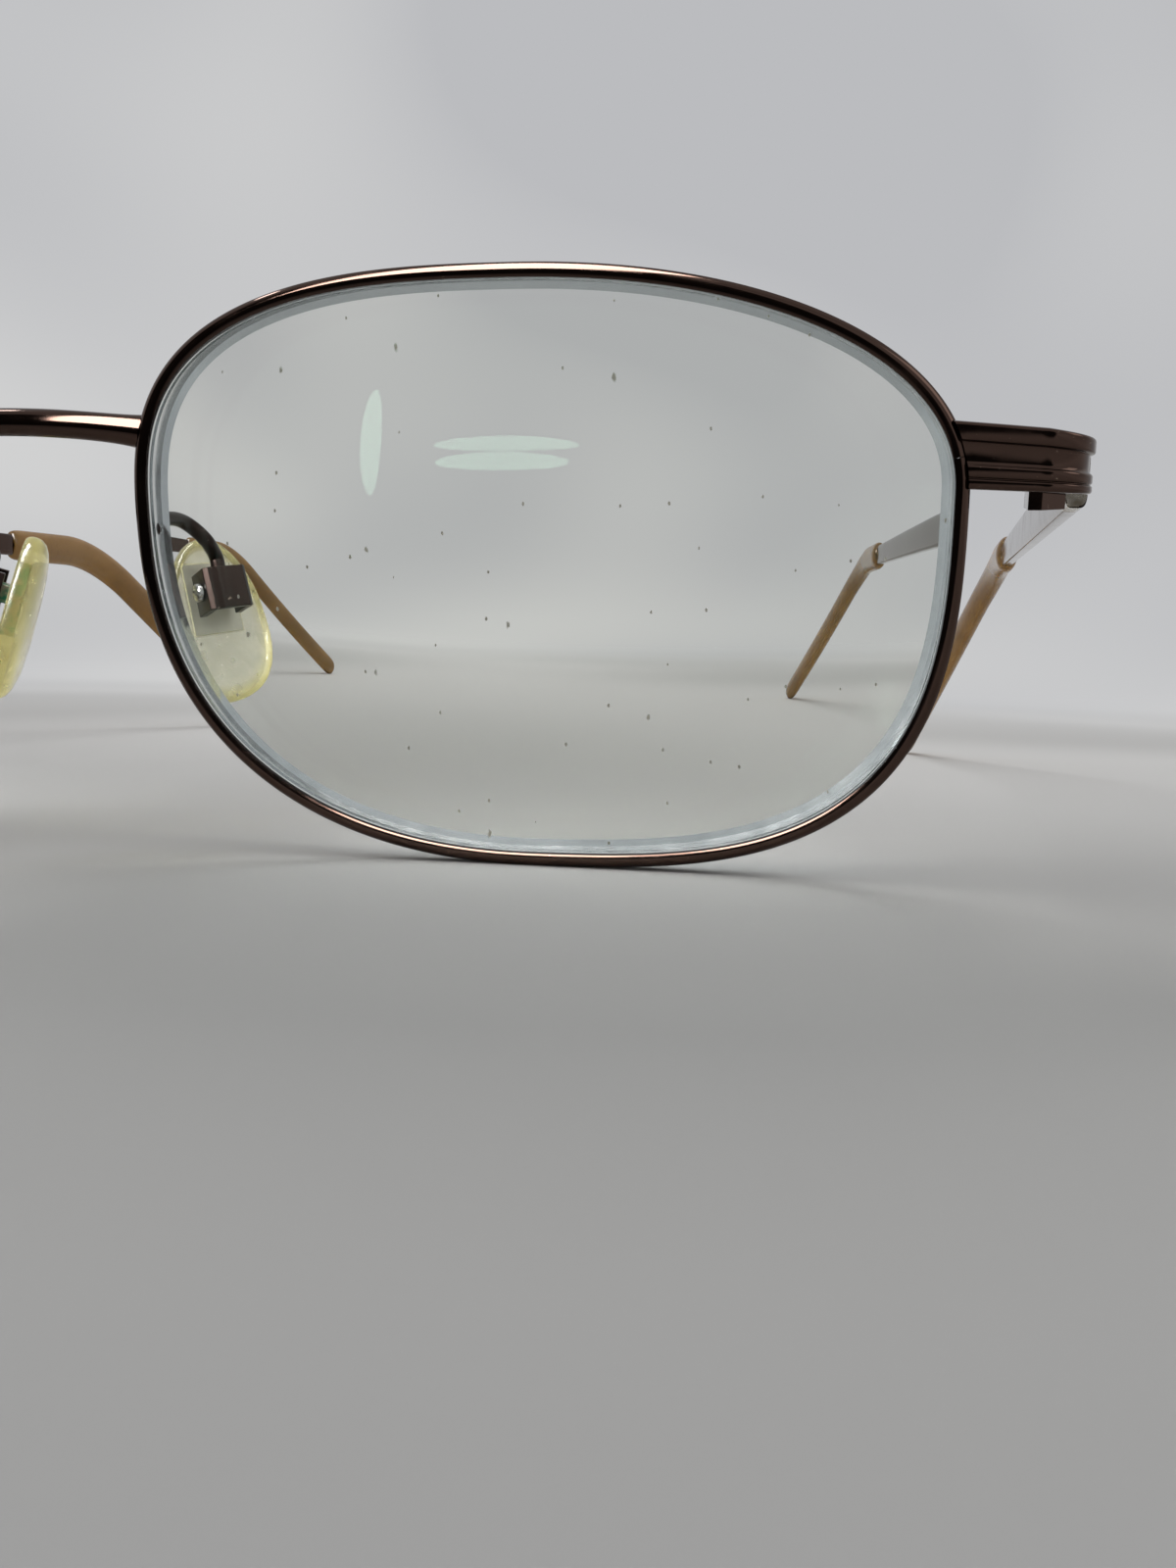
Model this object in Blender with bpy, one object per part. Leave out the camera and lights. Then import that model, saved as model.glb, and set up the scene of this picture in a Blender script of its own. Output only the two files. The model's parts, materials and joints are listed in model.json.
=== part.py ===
"""Metal-framed prescription eyeglasses, open and standing on rim bottoms and temple tips.

Lengths below are in millimetres and angles in degrees; MM turns a length into metres.
Pieces are designed in the front frame: +X to the wearer's left, +Y back to the ears, +Z up,
origin midway between the lenses at their mid height. Positions on an eye are (u, n, z):
u runs from the lens's nose-side edge towards the temple, n runs back through the lens.
The left side is designed, and the right side is its mirror image.
"""

import math

import bmesh
import bpy
from mathutils import Matrix, Vector

MM = 0.001

# Eye shape: the outer outline of the rim, four quarter superellipses.
bridge_width = 20.0  # between the two lenses
wrap_angle = 6.0  # each lens plane turned back at the temple side
eye_nose_u = -0.55
eye_temple_u = 52.8
eye_top_z = 19.1
eye_bottom_z = -19.0
crown_u = 24.5  # where the outline is highest
sole_u = 26.6  # where it is lowest
nose_bulge_z = 3.6
temple_bulge_z = 5.3
roundness = {"top_temple": 2.15, "top_nose": 2.80, "bottom_nose": 2.31, "bottom_temple": 2.99}
base_radius = 335.0  # front curve of lens and rim

# Rim wire.
rim_face = 1.0
rim_depth = 2.2
groove_depth = 0.5
groove_half = 0.5
fit = 0.06  # screws in their holes, tip on core
lens_fit = 0.1  # lens edge in the groove
joint_gap = 0.1  # between soldered pieces

# Minus lens.
lens_centre_thickness = 1.2
lens_back_radius = 74.0
optical_offset_u = -2.5  # back curve's axis from the middle of the eye
optical_offset_z = 0.7
bevel_half = 0.42

# Bridge bar.
bridge_height = 1.8
bridge_depth = 1.6
bridge_end_z = 9.45
bridge_rise = 0.75
bridge_bow = 1.5

# End piece: a fluted strap that turns the corner from rim to temple.
end_reach = 7.4  # from the rim's outer edge to the temple's outer face
end_thickness = 1.4
end_corner = 3.0
end_return = 1.7
end_bottom_z = (5.55, 5.35, 5.05)  # at the rim, at the corner, at the hinge
end_top_z = (9.6, 9.1, 8.2)
end_front_n = -1.3

# Closing block behind the end piece: its screw shuts the rim round the lens.
lock_length = 2.9
lock_depth = 2.1
lock_split_z = 7.55
lock_height = 1.75  # each half
lock_split_gap = 0.25
lock_screw_radius = 0.45
lock_head_radius = 0.8
lock_head_depth = 0.5

# Hinge: three knuckles on an upright screw.
hinge_z = 6.2
knuckle_radius = 1.15
knuckle_height = 1.25
knuckle_gap = 0.08
hinge_screw_radius = 0.45
hinge_head_radius = 0.8
hinge_head_depth = 0.35
running_gap = 0.12
leaf_thickness = 0.8
leaf_length = 4.8
leaf_height = 3.2
knuckle_arm = 1.4  # from the middle knuckle back into the leaf
leaf_start = 0.25  # leaf behind the knuckles

# Temple: flat bar, then a round core inside the plastic tip.
temple_thickness = 1.4
temple_height_front = 3.9
temple_height_back = 3.1
temple_gap = 0.15  # butt joint against the end piece
temple_slope = 7.8
temple_splay = 1.06
temple_straight = 97.7
ear_radius = 20.9
ear_angle = 41.6
tip_drop = 35.7
tip_inward = 15.9
tip_lead = 13.7  # the tip starts this far before the bend
core_radius = 0.65
core_margin = 9.0  # core ends this far before the end of the tip
tip_thickness = 2.7
tip_height = 4.5
tip_height_end = 5.1
tip_end_round = 3.2  # length of the rounded end
bend_lead = 7.0  # close sampling starts this far before the bend
inward_ease = 6.0  # half the length over which the inward turn starts

# Nose pad group.
pad_centre_x = 8.6
pad_centre_y = 8.7
pad_centre_z = -4.0
pad_splay = 30.0
pad_lean = 20.0
pad_length = 13.0
pad_width = 7.4
pad_thickness = 2.3
pocket_depth = 1.0
plate_length = 5.6
plate_width = 3.4
plate_thickness = 0.7
box_up = 1.7  # box above the pad's middle
box_out = 1.95  # box centre in front of the pad's outer face
box_height = 3.2
box_width = 3.0
box_depth = 2.6
box_wall = 0.5
lug_radius = 0.68
lug_gap = 0.1
pad_screw_radius = 0.35
pad_head_radius = 0.7
pad_head_depth = 0.35
arm_radius = 0.45
arm_root_z = 3.2

rim_stations = 58
lens_stations = 52
bore_sides = 10


# ---------------------------------------------------------------- materials

def make_material(name, colour, metallic, roughness, alpha=1.0):
    material = bpy.data.materials.new(name)
    material.use_nodes = True
    shader = material.node_tree.nodes["Principled BSDF"]
    shader.inputs["Base Color"].default_value = (*colour, 1.0)
    shader.inputs["Metallic"].default_value = metallic
    shader.inputs["Roughness"].default_value = roughness
    shader.inputs["Alpha"].default_value = alpha
    material.diffuse_color = (*colour, alpha)
    return material


for old in list(bpy.data.objects):
    bpy.data.objects.remove(old)

bronze = make_material("dark_bronze_plating", (0.075, 0.048, 0.040), 1.0, 0.22)
nickel = make_material("bare_nickel_silver", (0.55, 0.53, 0.50), 1.0, 0.30)
steel = make_material("screw_steel", (0.50, 0.50, 0.50), 1.0, 0.28)
lens_plastic = make_material("lens_plastic", (0.86, 0.90, 0.90), 0.0, 0.03, 0.35)
tip_acetate = make_material("amber_acetate", (0.42, 0.20, 0.055), 0.0, 0.25)
pad_plastic = make_material("yellowed_clear_pvc", (0.78, 0.76, 0.50), 0.0, 0.25, 0.7)


# ---------------------------------------------------------------- frames

front = bpy.data.objects.new("front_frame", None)
bpy.context.collection.objects.link(front)
WRAP = math.radians(wrap_angle)


def eye_to_front(u, n, z):
    """From eye coordinates to the front frame, on the left side."""
    x = bridge_width / 2 + u * math.cos(WRAP) - n * math.sin(WRAP)
    y = u * math.sin(WRAP) + n * math.cos(WRAP)
    return Vector((x, y, z))


def make_pivot(name, origin):
    pivot = bpy.data.objects.new(name, None)
    pivot.parent = front
    pivot.location = origin * MM
    bpy.context.collection.objects.link(pivot)
    return pivot


def add_piece(name, bm, material, side=1, parent=None, smooth=35.0, hidden=False):
    """Makes an object from a bmesh in front-frame millimetres, mirrored for side -1."""
    mirror = Matrix.Diagonal((side, 1, 1, 1))
    parent = parent or front
    to_local = Matrix.Identity(4)
    if parent is not front:
        to_local = parent.matrix_basis.inverted()
    bm.transform(to_local @ Matrix.Scale(MM, 4) @ mirror)
    bmesh.ops.recalc_face_normals(bm, faces=bm.faces)
    mesh = bpy.data.meshes.new(name)
    bm.to_mesh(mesh)
    bm.free()
    mesh.materials.append(material)
    piece = bpy.data.objects.new(name, mesh)
    piece.parent = parent
    bpy.context.collection.objects.link(piece)
    if smooth:
        mesh.shade_smooth()
        mesh.set_sharp_from_angle(angle=math.radians(smooth))
    if hidden:
        piece.hide_render = True
        piece.display_type = "WIRE"
    return piece


def cut(piece, cutter, operation="DIFFERENCE"):
    modifier = piece.modifiers.new(operation.lower() + "_" + cutter.name, "BOOLEAN")
    modifier.operation = operation
    modifier.object = cutter


# ---------------------------------------------------------------- shapes

def skin(rings, closed=False):
    """A bmesh tube through rings of points, capped at both ends unless it is closed."""
    bm = bmesh.new()
    rows = [[bm.verts.new(point) for point in ring] for ring in rings]
    count = len(rows[0])
    pairs = list(zip(rows, rows[1:]))
    if closed:
        pairs.append((rows[-1], rows[0]))
    for first, second in pairs:
        for i in range(count):
            j = (i + 1) % count
            bm.faces.new((first[i], first[j], second[j], second[i]))
    if not closed:
        bm.faces.new(rows[0])
        bm.faces.new(rows[-1])
    return bm


def prism(outline, low, high, place):
    """An outline of (a, b) points extruded from low to high; place(a, b, c) gives the point."""
    return skin([[place(a, b, c) for a, b in outline] for c in (low, high)])


def circle(radius, sides, start=0.0):
    step = 2 * math.pi / sides
    return [(radius * math.cos(start + i * step), radius * math.sin(start + i * step))
            for i in range(sides)]


def turned(profile, origin, axis, sides=12):
    """A turned solid: profile is (distance along the axis, radius), origin and axis vectors."""
    axis = axis.normalized()
    across = axis.orthogonal().normalized()
    other = axis.cross(across)
    rings = []
    for along, radius in profile:
        rings.append([origin + axis * along + across * a + other * b
                      for a, b in circle(radius, sides)])
    return skin(rings)


def screw(origin, axis, head_radius, head_depth, shank_radius, length):
    """A screw whose head lies before the origin and whose shank runs along the axis."""
    profile = [(-head_depth, head_radius * 0.8), (-head_depth * 0.6, head_radius),
               (0.0, head_radius), (0.0, shank_radius),
               (length - shank_radius * 0.4, shank_radius), (length, shank_radius * 0.6)]
    return turned(profile, origin, axis)


def bar_along(points, half_across, half_up, across, sides=8):
    """Rings of an oval bar: lists of centres, half sizes and sideways directions."""
    rings = []
    for i, centre in enumerate(points):
        ahead = points[min(i + 1, len(points) - 1)] - points[max(i - 1, 0)]
        side_way = across[i] - ahead * (across[i].dot(ahead) / ahead.length_squared)
        side_way.normalize()
        up_way = side_way.cross(ahead).normalized()
        rings.append([centre + side_way * (half_across[i] * a) + up_way * (half_up[i] * b)
                      for a, b in circle(1.0, sides, math.pi / sides)])
    return rings


# ---------------------------------------------------------------- the eye's outline

def eye_outline(angle):
    """(u, z) on the rim's outer outline; the angle starts at the temple and turns upwards."""
    c, s = math.cos(angle), math.sin(angle)
    centre_u = crown_u if s >= 0 else sole_u
    centre_z = temple_bulge_z if c >= 0 else nose_bulge_z
    half_u = eye_temple_u - centre_u if c >= 0 else centre_u - eye_nose_u
    half_z = eye_top_z - centre_z if s >= 0 else centre_z - eye_bottom_z
    corner = ("top_" if s >= 0 else "bottom_") + ("temple" if c >= 0 else "nose")
    power = 2 / roundness[corner]
    u = centre_u + math.copysign(half_u * abs(c) ** power, c)
    z = centre_z + math.copysign(half_z * abs(s) ** power, s)
    return u, z


def outline_angle(z):
    """The angle of the temple side's outline at height z."""
    half_z = eye_top_z - temple_bulge_z if z >= temple_bulge_z else temple_bulge_z - eye_bottom_z
    corner = "top_temple" if z >= temple_bulge_z else "bottom_temple"
    share = (abs(z - temple_bulge_z) / half_z) ** (roundness[corner] / 2)
    return math.copysign(math.asin(share), z - temple_bulge_z)


def spaced_outline(start, end, count, closed=False):
    """Evenly spaced ((u, z), outward normal) along the outline between two angles."""
    dense = [eye_outline(start + (end - start) * i / 2000) for i in range(2001)]
    run = [0.0]
    for (u0, z0), (u1, z1) in zip(dense, dense[1:]):
        run.append(run[-1] + math.hypot(u1 - u0, z1 - z0))
    found = []
    k = 0
    for i in range(count):
        target = run[-1] * i / (count if closed else count - 1)
        while k < 1999 and run[k + 1] < target:
            k += 1
        u, z = dense[k]
        near, far = dense[max(k - 3, 0)], dense[min(k + 4, 2000)]
        normal = Vector((far[1] - near[1], near[0] - far[0])).normalized()
        found.append(((u, z), normal))
    return found


eye_middle_u = (eye_nose_u + eye_temple_u) / 2
eye_half = (eye_temple_u - eye_nose_u) / 2


def crown(u, z):
    """How far the rim's middle bows back at (u, z), nothing at the ends of the eye."""
    return ((u - eye_middle_u) ** 2 + z * z - eye_half ** 2) / (2 * base_radius)


def side_u(z, nose=False):
    """The outer outline's u at height z, on the temple side or the nose side."""
    upper = z >= (nose_bulge_z if nose else temple_bulge_z)
    centre_u = crown_u if upper else sole_u
    centre_z = nose_bulge_z if nose else temple_bulge_z
    half_z = eye_top_z - centre_z if upper else centre_z - eye_bottom_z
    power = roundness[("top_" if upper else "bottom_") + ("nose" if nose else "temple")]
    reach = (1 - (abs(z - centre_z) / half_z) ** power) ** (1 / power)
    if nose:
        return centre_u - (centre_u - eye_nose_u) * reach
    return centre_u + (eye_temple_u - centre_u) * reach


# ---------------------------------------------------------------- rim and lens

def rim_bmesh():
    half = rim_depth / 2
    soft = 0.3
    profile = [(0, -half + 0.35), (-0.1, -half + 0.12), (-soft, -half), (soft - rim_face, -half),
               (-rim_face, -half + 0.2), (-rim_face, -groove_half),
               (groove_depth - rim_face, 0), (-rim_face, groove_half), (-rim_face, half - 0.15),
               (0.15 - rim_face, half), (-soft, half), (0, half - 0.3)]
    split = lock_split_gap / 2
    start = outline_angle(lock_split_z + split)
    end = outline_angle(lock_split_z - split) + 2 * math.pi
    rings = []
    for (u, z), normal in spaced_outline(start, end, rim_stations):
        bow = crown(u, z)
        rings.append([eye_to_front(u + normal.x * r, n + bow, z + normal.y * r)
                      for r, n in profile])
    return skin(rings)


def lens_front_n(u, z):
    bow = ((u - eye_middle_u) ** 2 + z * z) / (2 * base_radius)
    return bow - eye_half ** 2 / (2 * base_radius) - 0.8


def lens_back_n(u, z):
    off_u = u - eye_middle_u - optical_offset_u
    off_z = z - optical_offset_z
    sag = lens_back_radius - math.sqrt(lens_back_radius ** 2 - off_u ** 2 - off_z ** 2)
    return lens_front_n(eye_middle_u, 0) + lens_centre_thickness + sag


def lens_bmesh():
    edge = -rim_face - lens_fit
    apex = groove_depth - rim_face - lens_fit
    outline = spaced_outline(0, 2 * math.pi, lens_stations, closed=True)

    def ring(share, surface):
        points = []
        for (u, z), normal in outline:
            edge_u, edge_z = u + normal.x * edge, z + normal.y * edge
            pu = eye_middle_u + (edge_u - eye_middle_u) * share
            pz = edge_z * share
            points.append(eye_to_front(pu, surface(pu, pz), pz))
        return points

    def edge_ring(offset, n_from_crown):
        return [eye_to_front(u + normal.x * offset, crown(u, z) + n_from_crown,
                             z + normal.y * offset) for (u, z), normal in outline]

    shares = (0.04, 0.45, 0.78, 1.0)
    rings = [ring(share, lens_front_n) for share in shares]
    rings += [edge_ring(edge, -bevel_half), edge_ring(apex, 0.0), edge_ring(edge, bevel_half)]
    rings += [ring(share, lens_back_n) for share in reversed(shares)]
    return skin(rings)


# ---------------------------------------------------------------- bridge

def bridge_bmesh():
    """Arched bar whose end faces follow the rims' outer edges."""
    def rim_x(y, z):
        return eye_to_front(side_u(z, nose=True) - joint_gap, y, z).x

    stations = 21
    rings = []
    for i in range(stations):
        share = -1 + 2 * i / (stations - 1)
        lift = 1 - share * share
        flare = 1 + 0.22 * abs(share) ** 8
        ring = []
        for a, b in circle(1.0, 12):
            y = bridge_depth / 2 * a * flare - bridge_bow * lift
            z = bridge_end_z + bridge_rise * lift + bridge_height / 2 * b * flare
            ring.append(Vector((rim_x(y, z - bridge_rise * lift) * share, y, z)))
        rings.append(ring)
    return skin(rings)


# ---------------------------------------------------------------- end piece and lock

rim_edge = eye_to_front(eye_temple_u, 0, temple_bulge_z)
temple_outer_x = rim_edge.x + end_reach
corner_start_x = temple_outer_x - end_corner
front_face_y = eye_to_front((corner_start_x - bridge_width / 2) / math.cos(WRAP),
                            end_front_n, 0).y  # where the strap starts to turn
corner_y = front_face_y + end_corner
end_rear_y = corner_y + end_return
hinge_x = temple_outer_x - max(temple_thickness, end_thickness) - running_gap - knuckle_radius
hinge_y = end_rear_y + temple_gap / 2
hinge_half = (3 * knuckle_height + 2 * knuckle_gap) / 2


def end_piece_bmesh():
    """Strap swept round the corner; its outer face has a band, a wide flute and a step."""
    face = [(0.00, 0.30), (0.10, 0.08), (0.22, 0.00), (0.27, 0.22), (0.31, 0.30), (0.60, 0.30),
            (0.64, 0.14), (0.68, 0.06), (0.80, 0.06), (0.83, 0.18), (0.86, 0.06),
            (0.94, 0.08), (1.00, 0.30)]  # (share of height from the top, depth below the face)
    face += [(share / 4, end_thickness) for share in (4, 3, 2, 1, 0)]
    straight, corner = 4, 5

    def height(levels, before, after):
        """Level of an edge: before runs 0 to 1 up to the corner, after runs 0 to 1 round it."""
        return (levels[0] + (levels[1] - levels[0]) * before + (levels[2] - levels[1]) * after)

    def ring(before, after, place):
        top = height(end_top_z, before, after)
        bottom = height(end_bottom_z, before, after)
        return [place(top - (top - bottom) * share, depth) for share, depth in face]

    def along_front(share):
        def place(z, depth):
            start = eye_to_front(side_u(z) + joint_gap, end_front_n + depth, z)
            finish = Vector((corner_start_x, corner_y - end_corner + depth, z))
            return start.lerp(finish, share)
        return place

    def round_corner(angle):
        def place(z, depth):
            radius = end_corner - depth
            return Vector((corner_start_x + math.sin(angle) * radius,
                           corner_y - math.cos(angle) * radius, z))
        return place

    rings = [ring(i / straight, 0, along_front(i / straight)) for i in range(straight)]
    for i in range(corner + 1):
        share = i / corner
        rings.append(ring(1, share * 0.8, round_corner(math.radians(90) * share)))
    rings.append(ring(1, 1, lambda z, depth: Vector((temple_outer_x - depth, end_rear_y, z))))
    return skin(rings)


lock_front_n = end_front_n + end_thickness + joint_gap
lock_middle_n = lock_front_n + lock_depth / 2
lock_screw_u = eye_temple_u + joint_gap + lock_length * 0.55


def lock_bmesh(low_z, high_z):
    """Half of the closing block, fitted to the rim's outer edge."""
    levels = [low_z + (high_z - low_z) * i / 3 for i in range(4)]
    outer_u = eye_temple_u + joint_gap + lock_length
    outline = [(side_u(z) + joint_gap, z) for z in levels]
    outline += [(outer_u, high_z), (outer_u, low_z)]
    return prism(outline, lock_front_n, lock_front_n + lock_depth,
                 lambda u, z, n: eye_to_front(u, n, z))


# ---------------------------------------------------------------- temple line

SLOPE = math.radians(temple_slope)
SPLAY = math.radians(temple_splay)
EAR = math.radians(ear_angle)
temple_back = Vector((math.sin(SPLAY) * math.cos(SLOPE), math.cos(SPLAY) * math.cos(SLOPE),
                      -math.sin(SLOPE)))
temple_down = Vector((0, -math.sin(SLOPE), -math.cos(SLOPE)))
temple_in = Vector((-math.cos(SPLAY), math.sin(SPLAY), 0))
ear_arc = ear_radius * EAR
temple_total = temple_straight + ear_arc + tip_drop
bar_length = temple_straight - tip_lead
temple_start = Vector((temple_outer_x - temple_thickness / 2, end_rear_y + temple_gap, hinge_z))


def temple_point(run):
    """The temple's centreline at a distance along it from its front end."""
    bend = min(max(run - temple_straight, 0), ear_arc) / ear_radius
    tail = max(run - temple_straight - ear_arc, 0)
    ahead = min(run, temple_straight) + ear_radius * math.sin(bend) + tail * math.cos(EAR)
    down = ear_radius * (1 - math.cos(bend)) + tail * math.sin(EAR)
    beyond = run - temple_straight - ear_arc / 2
    ease = inward_ease
    inward = 0.0
    if beyond > -ease:
        inward = (beyond + ease) ** 2 / (4 * ease) if beyond < ease else beyond
    inward *= math.tan(math.radians(tip_inward))
    return temple_start + temple_back * ahead + temple_down * down + temple_in * inward


def temple_runs(start, end, straight_steps, bent_steps):
    """Distances along the temple, close together where it bends."""
    bend_start = max(temple_straight - bend_lead, start)
    runs = [start + (bend_start - start) * i / straight_steps for i in range(straight_steps)]
    runs += [bend_start + (end - bend_start) * i / bent_steps for i in range(bent_steps + 1)]
    return runs


def core_runs():
    """Where the core and the bore round it are sampled, so that both follow one line."""
    return temple_runs(bar_length, temple_total - core_margin, 2, 13)


def temple_bar_bmesh():
    """The flat bar with crowned faces; behind it a thin core that the tip slides over."""
    bar_runs = [0.0, 0.5] + [bar_length * i / 8 for i in range(1, 9)]
    rings = []
    sides = 12
    for run in bar_runs:
        share = run / bar_length
        half_up = (temple_height_front + (temple_height_back - temple_height_front) * share) / 2
        half_in = temple_thickness / 2
        outline = []
        for a, b in circle(1.0, sides, math.pi / sides):
            outline.append((math.copysign(abs(a) ** 0.35, a) * half_in,
                            math.copysign(abs(b) ** 0.55, b) * half_up))
        centre = temple_point(run)
        if run == 0.0:
            rings.append([Vector((centre.x + a, temple_start.y, centre.z + b)) for a, b in outline])
        else:
            rings.append([centre - temple_in * a - temple_down * b for a, b in outline])
    points = [temple_point(run) for run in core_runs()]
    size = [core_radius] * len(points)
    ways = [-temple_in] * len(points)
    rings += bar_along(points, size, size, ways, sides)
    return skin(rings)


def tip_bmesh():
    """Plastic tip: an oval tube with a blunt closed end."""
    start = bar_length + joint_gap
    runs = temple_runs(start, temple_total, 2, 15)
    end_round = [(2.2, 0.985), (1.2, 0.88), (0.5, 0.68), (0.12, 0.40), (0.0, 0.16)]
    runs = [run for run in runs if run < temple_total - tip_end_round]
    stations = [(run, 1.0) for run in runs]
    stations[0] = (start, 0.9)
    stations.insert(1, (start + 0.5, 1.0))
    stations += [(temple_total - back, scale) for back, scale in end_round]
    points = [temple_point(run) for run, _ in stations]
    half_in = [tip_thickness / 2 * scale for _, scale in stations]
    half_up = [(tip_height + (tip_height_end - tip_height) * (run - start) / (temple_total - start))
               / 2 * scale for run, scale in stations]
    ways = [-temple_in] * len(points)
    sides = 12
    outer = bar_along(points, half_in, half_up, ways, sides)
    bore_runs = [start] + core_runs()[1:] + [temple_total - core_margin + 0.3]
    bore_points = [temple_point(run) for run in bore_runs]
    bore_size = [core_radius + fit / math.cos(math.pi / sides)] * len(bore_points)
    inner = bar_along(bore_points, bore_size, bore_size, [-temple_in] * len(bore_points), sides)
    return skin(list(reversed(outer)) + inner)


# ---------------------------------------------------------------- hinge

def front_place(x, y, z):
    return Vector((x, y, z))


def hinge_front_bmesh():
    """Outer knuckles and the block that fills the corner behind the end piece."""
    wall_y = front_face_y + end_thickness + joint_gap
    points = []
    for i in range(9):
        angle = math.radians(180 * i / 8)
        points.append((hinge_x + knuckle_radius * math.cos(angle),
                       hinge_y + knuckle_radius * math.sin(angle)))
    points += [(hinge_x - knuckle_radius, wall_y), (corner_start_x, wall_y),
               (hinge_x + knuckle_radius, corner_y)]
    return prism(points, hinge_z - hinge_half, hinge_z + hinge_half, front_place)


def slot_cutter_bmesh():
    """The room for the middle knuckle, open to the back and to both sides."""
    deep = hinge_y - knuckle_radius - running_gap
    half = knuckle_height / 2 + knuckle_gap
    outline = [(hinge_x - 2 * knuckle_radius, hinge_y + 2 * knuckle_radius),
               (hinge_x - 2 * knuckle_radius, deep), (hinge_x + 2 * knuckle_radius, deep),
               (hinge_x + 2 * knuckle_radius, hinge_y + 2 * knuckle_radius)]
    return prism(outline, hinge_z - half, hinge_z + half, front_place)


def middle_knuckle_bmesh():
    """Middle knuckle with its arm back to the leaf."""
    points = []
    for i in range(9):
        angle = math.radians(180 + 180 * i / 8)
        points.append((hinge_x + knuckle_radius * math.cos(angle),
                       hinge_y + knuckle_radius * math.sin(angle)))
    arm_y = hinge_y + knuckle_radius + knuckle_arm
    points += [(hinge_x + knuckle_radius, arm_y), (hinge_x + knuckle_radius - leaf_thickness, arm_y),
               (hinge_x - knuckle_radius, hinge_y + knuckle_radius * 0.45)]
    return prism(points, hinge_z - knuckle_height / 2, hinge_z + knuckle_height / 2, front_place)


def leaf_bmesh():
    """The leaf soldered along the temple's inner face."""
    start = hinge_y + knuckle_radius + leaf_start - temple_start.y
    taper = 0.8  # both ends narrow over this length
    rings = []
    for run, half_up in ((start, 0.8), (start + taper, 1.0), (leaf_length - taper, 1.0),
                         (leaf_length, 0.6)):
        centre = temple_start + temple_back * run + temple_in * (temple_thickness / 2 + joint_gap)
        up = temple_down * -(leaf_height / 2 * half_up)
        deep = temple_in * leaf_thickness
        rings.append([centre + up, centre - up, centre - up + deep, centre + up + deep])
    return skin(rings)


def bore_bmesh(radius, low, high):
    return turned([(0, radius), (high - low, radius)], Vector((hinge_x, hinge_y, low)),
                  Vector((0, 0, 1)), bore_sides)


# ---------------------------------------------------------------- nose pad group

PAD_SPLAY = math.radians(pad_splay)
PAD_LEAN = math.radians(pad_lean)
pad_middle = Vector((pad_centre_x, pad_centre_y, pad_centre_z))
pad_width_way = Vector((math.sin(PAD_SPLAY), math.cos(PAD_SPLAY), 0))
level_out = Vector((math.cos(PAD_SPLAY), -math.sin(PAD_SPLAY), 0))
pad_up = Vector((0, 0, math.cos(PAD_LEAN))) - level_out * math.sin(PAD_LEAN)
pad_out = level_out * math.cos(PAD_LEAN) + Vector((0, 0, math.sin(PAD_LEAN)))


def pad_place(across, up, out):
    return pad_middle + pad_width_way * across + pad_up * up + pad_out * out


def pad_outline(scale):
    """D-shaped outline: a straighter front edge, fuller towards the bottom."""
    points = []
    sides = 24
    for i in range(sides):
        angle = 2 * math.pi * i / sides
        c, s = math.cos(angle), math.sin(angle)
        across = math.copysign(abs(c) ** 0.9, c) * pad_width / 2
        up = math.copysign(abs(s) ** 0.85, s) * pad_length / 2
        if c < 0:
            across *= 0.82 - 0.12 * s
        else:
            across *= 1.0 - 0.18 * s
        points.append((across * scale, up * scale))
    return points


def nose_pad_bmesh():
    levels = [(0.96, 0.45), (0.89, 0.75), (0.6, 0.95), (0.3, 1.0), (0.05, 0.97),
              (0.0, 0.93)]  # (share of the thickness from the outer face, outline's scale)
    rings = [[pad_place(a, b, -pad_thickness * depth) for a, b in pad_outline(scale)]
             for depth, scale in levels]
    return skin(rings)


def box_outline(half_across, half_up):
    return [(-half_across, -half_up), (half_across, -half_up),
            (half_across, half_up), (-half_across, half_up)]


def pad_prism(outline, low, high, up_shift=0.0):
    return prism(outline, low, high, lambda a, b, c: pad_place(a, b + up_shift, c))


def pad_box_bmesh():
    """A channel with a back wall and two side walls that hold the screw."""
    a = box_width / 2
    b = a - box_wall
    low, high = box_out - box_depth / 2, box_out + box_depth / 2
    outline = [(-a, low), (-b, low), (-b, high - box_wall), (b, high - box_wall), (b, low),
               (a, low), (a, high - 0.3), (a - 0.3, high), (0.3 - a, high), (-a, high - 0.3)]
    return prism(outline, box_up - box_height / 2, box_up + box_height / 2,
                 lambda across, out, up: pad_place(across, up, out))


def pad_insert_bmesh():
    """The lug that swings in the box; the plate in the pad is joined to it."""
    half = box_width / 2 - box_wall - lug_gap
    top = box_out
    points = [(-lug_radius, -0.35), (lug_radius, -0.35)]
    for i in range(7):
        angle = math.radians(180 * i / 6)
        points.append((lug_radius * math.cos(angle), top + lug_radius * math.sin(angle)))
    return prism(points, -half, half,
                 lambda up, out, across: pad_place(across, up + box_up, out))


def pad_screw_origin():
    return pad_place(-box_width / 2 - 0.05, box_up, box_out)


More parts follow.
